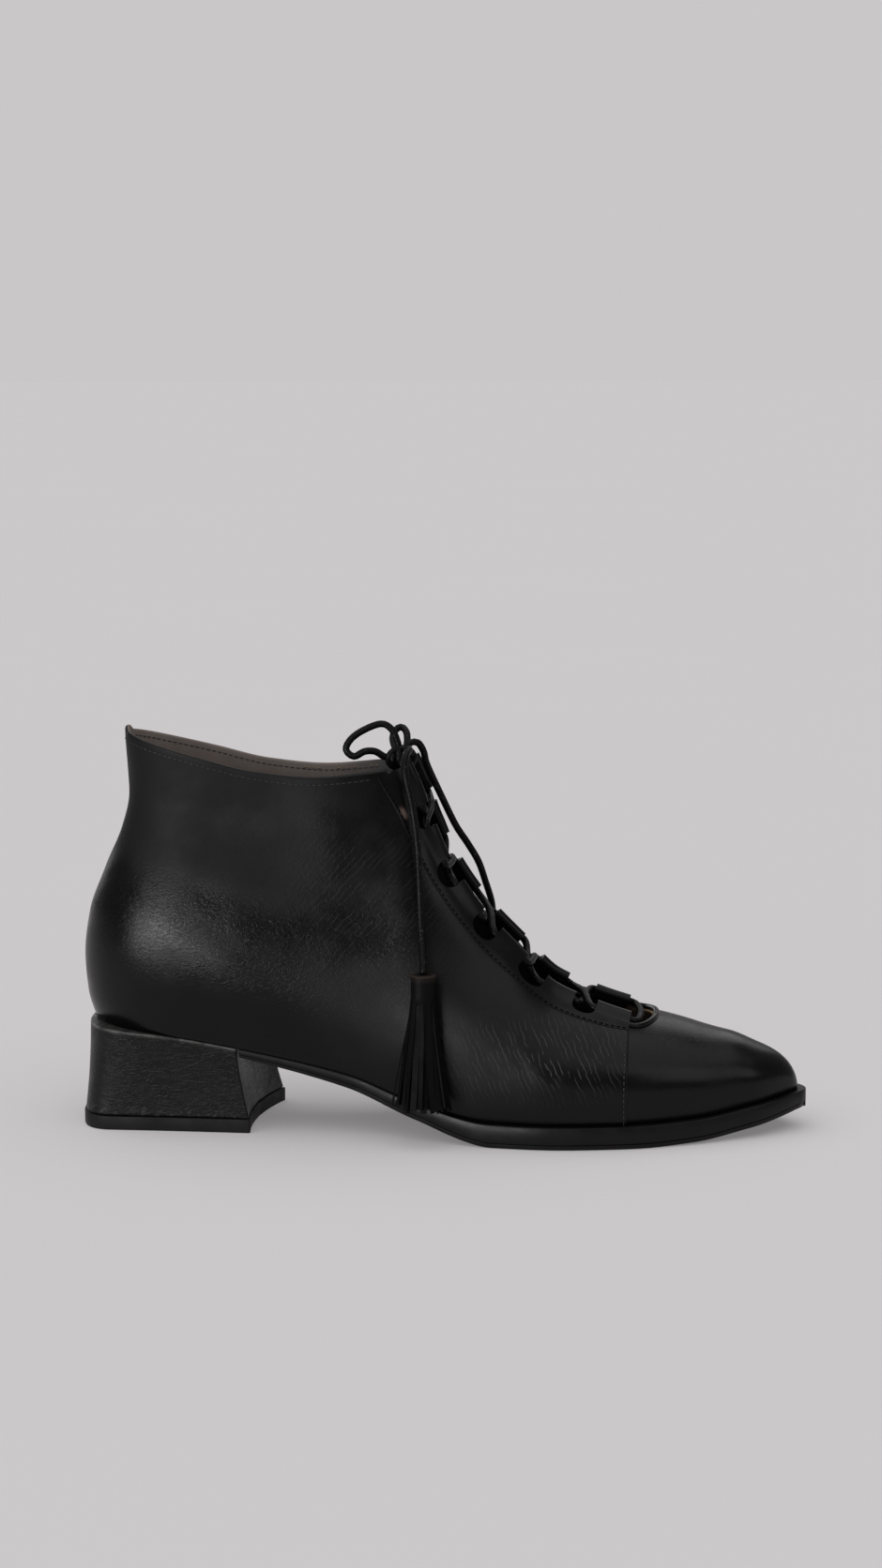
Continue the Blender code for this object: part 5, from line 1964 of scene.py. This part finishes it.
@dataclass
class Studio:
    """Camera, soft light and a plain pale sweep."""

    camera_place: Point = (93.2, -1160.5, 290.4)
    yaw: float = 4.613
    pitch: float = 7.865
    roll: float = 0.12
    focal_pixels: float = 3338.0
    long_side: int = 1672
    sensor: float = 36.0
    floor_colour: Colour = (0.645, 0.621, 0.631)
    floor_glow: float = 0.185  # evens the floor out, as more lamps would
    glow_colour: Colour = (1.0, 0.97, 0.981)
    floor_reach: float = 30.0
    overhead: float = 1.62
    overhead_angle: float = 100.0
    surround: Colour = (0.15, 0.149, 0.149)
    backdrop: Colour = (0.585, 0.572, 0.575)
    # Name, place and target in metres, width and height, and power of each panel
    panels: tuple[tuple[str, Point, Point, Pair, float], ...] = (
        ("panel_left", (-1.44, -2.09, 0.417), (-0.11, 0.0, 0.08), (1.97, 0.59), 42.0),
        ("panel_right", (1.5, -0.9, 1.0), (0.05, 0.0, 0.05), (0.9, 0.9), 3.0),
        ("panel_back", (0.3, 1.6, 0.95), (0.08, 0.0, 0.04), (0.9, 0.9), 2.0),
        ("panel_far", (-1.2, 2.0, 0.5), (-0.1, 0.0, 0.08), (1.6, 0.5), 4.0),
    )

    def build_camera(self) -> None:
        """Sets the camera at the photograph's angle."""
        data = bpy.data.cameras.new("camera")
        data.sensor_width = self.sensor
        data.lens = self.focal_pixels / self.long_side * self.sensor
        data.clip_start, data.clip_end = 0.05, 50.0
        bpy.context.scene.view_settings.view_transform = "Standard"
        camera = bpy.data.objects.new("camera", data)
        camera.location = Vector(self.camera_place) * MM
        camera.rotation_euler = [math.radians(turn) for turn in (90.0 - self.pitch, self.roll, self.yaw)]
        bpy.context.scene.collection.objects.link(camera)
        bpy.context.scene.camera = camera

    def build_light(self) -> None:
        """A broad even light from above, soft panels for the leather's gloss and a dim surround."""
        above = bpy.data.lights.new("overhead", "SUN")
        above.energy, above.angle = self.overhead, math.radians(self.overhead_angle)
        self.aim(above, (-0.3, -0.4, 2.0), (0.0, 0.0, 0.0))
        for name, place, target, size, power in self.panels:
            data = bpy.data.lights.new(name, "AREA")
            data.shape, data.energy = "RECTANGLE", power
            data.size, data.size_y = size
            self.aim(data, place, target).visible_diffuse = False
        world = bpy.data.worlds.new("surround")
        world.use_nodes = True
        tree = world.node_tree
        dim = tree.nodes["Background"]
        dim.inputs["Color"].default_value = (*self.surround, 1.0)
        pale = tree.nodes.new("ShaderNodeBackground")
        pale.inputs["Color"].default_value = (*self.backdrop, 1.0)
        seen, both = tree.nodes.new("ShaderNodeLightPath"), tree.nodes.new("ShaderNodeMixShader")
        tree.links.new(seen.outputs["Is Camera Ray"], both.inputs["Fac"])
        tree.links.new(dim.outputs["Background"], both.inputs[1])
        tree.links.new(pale.outputs["Background"], both.inputs[2])
        tree.links.new(both.outputs["Shader"], tree.nodes["World Output"].inputs["Surface"])
        bpy.context.scene.world = world

    def aim(self, data: bpy.types.Light, place: Sequence[float], target: Sequence[float]) -> bpy.types.Object:
        """Hangs a lamp at a place and turns it to a target, both in metres."""
        lamp = bpy.data.objects.new(data.name, data)
        lamp.location = place
        lamp.visible_camera = False
        lamp.rotation_euler = (Vector(target) - Vector(place)).to_track_quat("-Z", "Y").to_euler()
        bpy.context.scene.collection.objects.link(lamp)
        return lamp

    def build_floor(self) -> None:
        """A wide pale floor that runs out into the backdrop."""
        angle = 2 * np.pi * np.arange(64) / 64
        ring = np.stack([np.cos(angle), np.sin(angle), np.zeros(len(angle))], -1) * self.floor_reach / MM
        sheet = Sheet()
        sheet.cap(sheet.add(ring))
        mesh = sheet.mesh("floor", turn=False)
        floor = bpy.data.objects.new("floor", mesh)
        bpy.context.scene.collection.objects.link(floor)
        r = Recipe("pale_floor")
        darker = tuple(0.985 * c for c in self.floor_colour)
        tone = r.blended(r.noise(r.place(), 3.0, 2.0), self.floor_colour, darker)
        r.dress(Base_Color=tone, Roughness=0.9, Specular_IOR_Level=0.0)
        mesh.materials.append(r.dress(Emission_Color=self.glow_colour, Emission_Strength=self.floor_glow))


def main() -> None:
    """Builds the studio and the boot, piece by piece."""
    logging.basicConfig(level=logging.INFO, format="%(name)s %(message)s")
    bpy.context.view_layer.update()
    studio = Studio()
    studio.build_camera()
    finishes, sewing, throat = Finishes(), Sewing(), Throat()
    Lace(throat).build(finishes)
    Upper(throat).build(finishes, sewing)
    for side in Side:
        throat.build(side, finishes, sewing)
    throat.build_rim(finishes)
    sole = Sole()
    sole.build(finishes)
    Heel(sole).build(finishes)
    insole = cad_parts["insole"]
    insole.data.materials.clear()
    insole.data.materials.append(finishes.lining)
    studio.build_floor()
    studio.build_light()


if __name__ == "__main__":
    main()
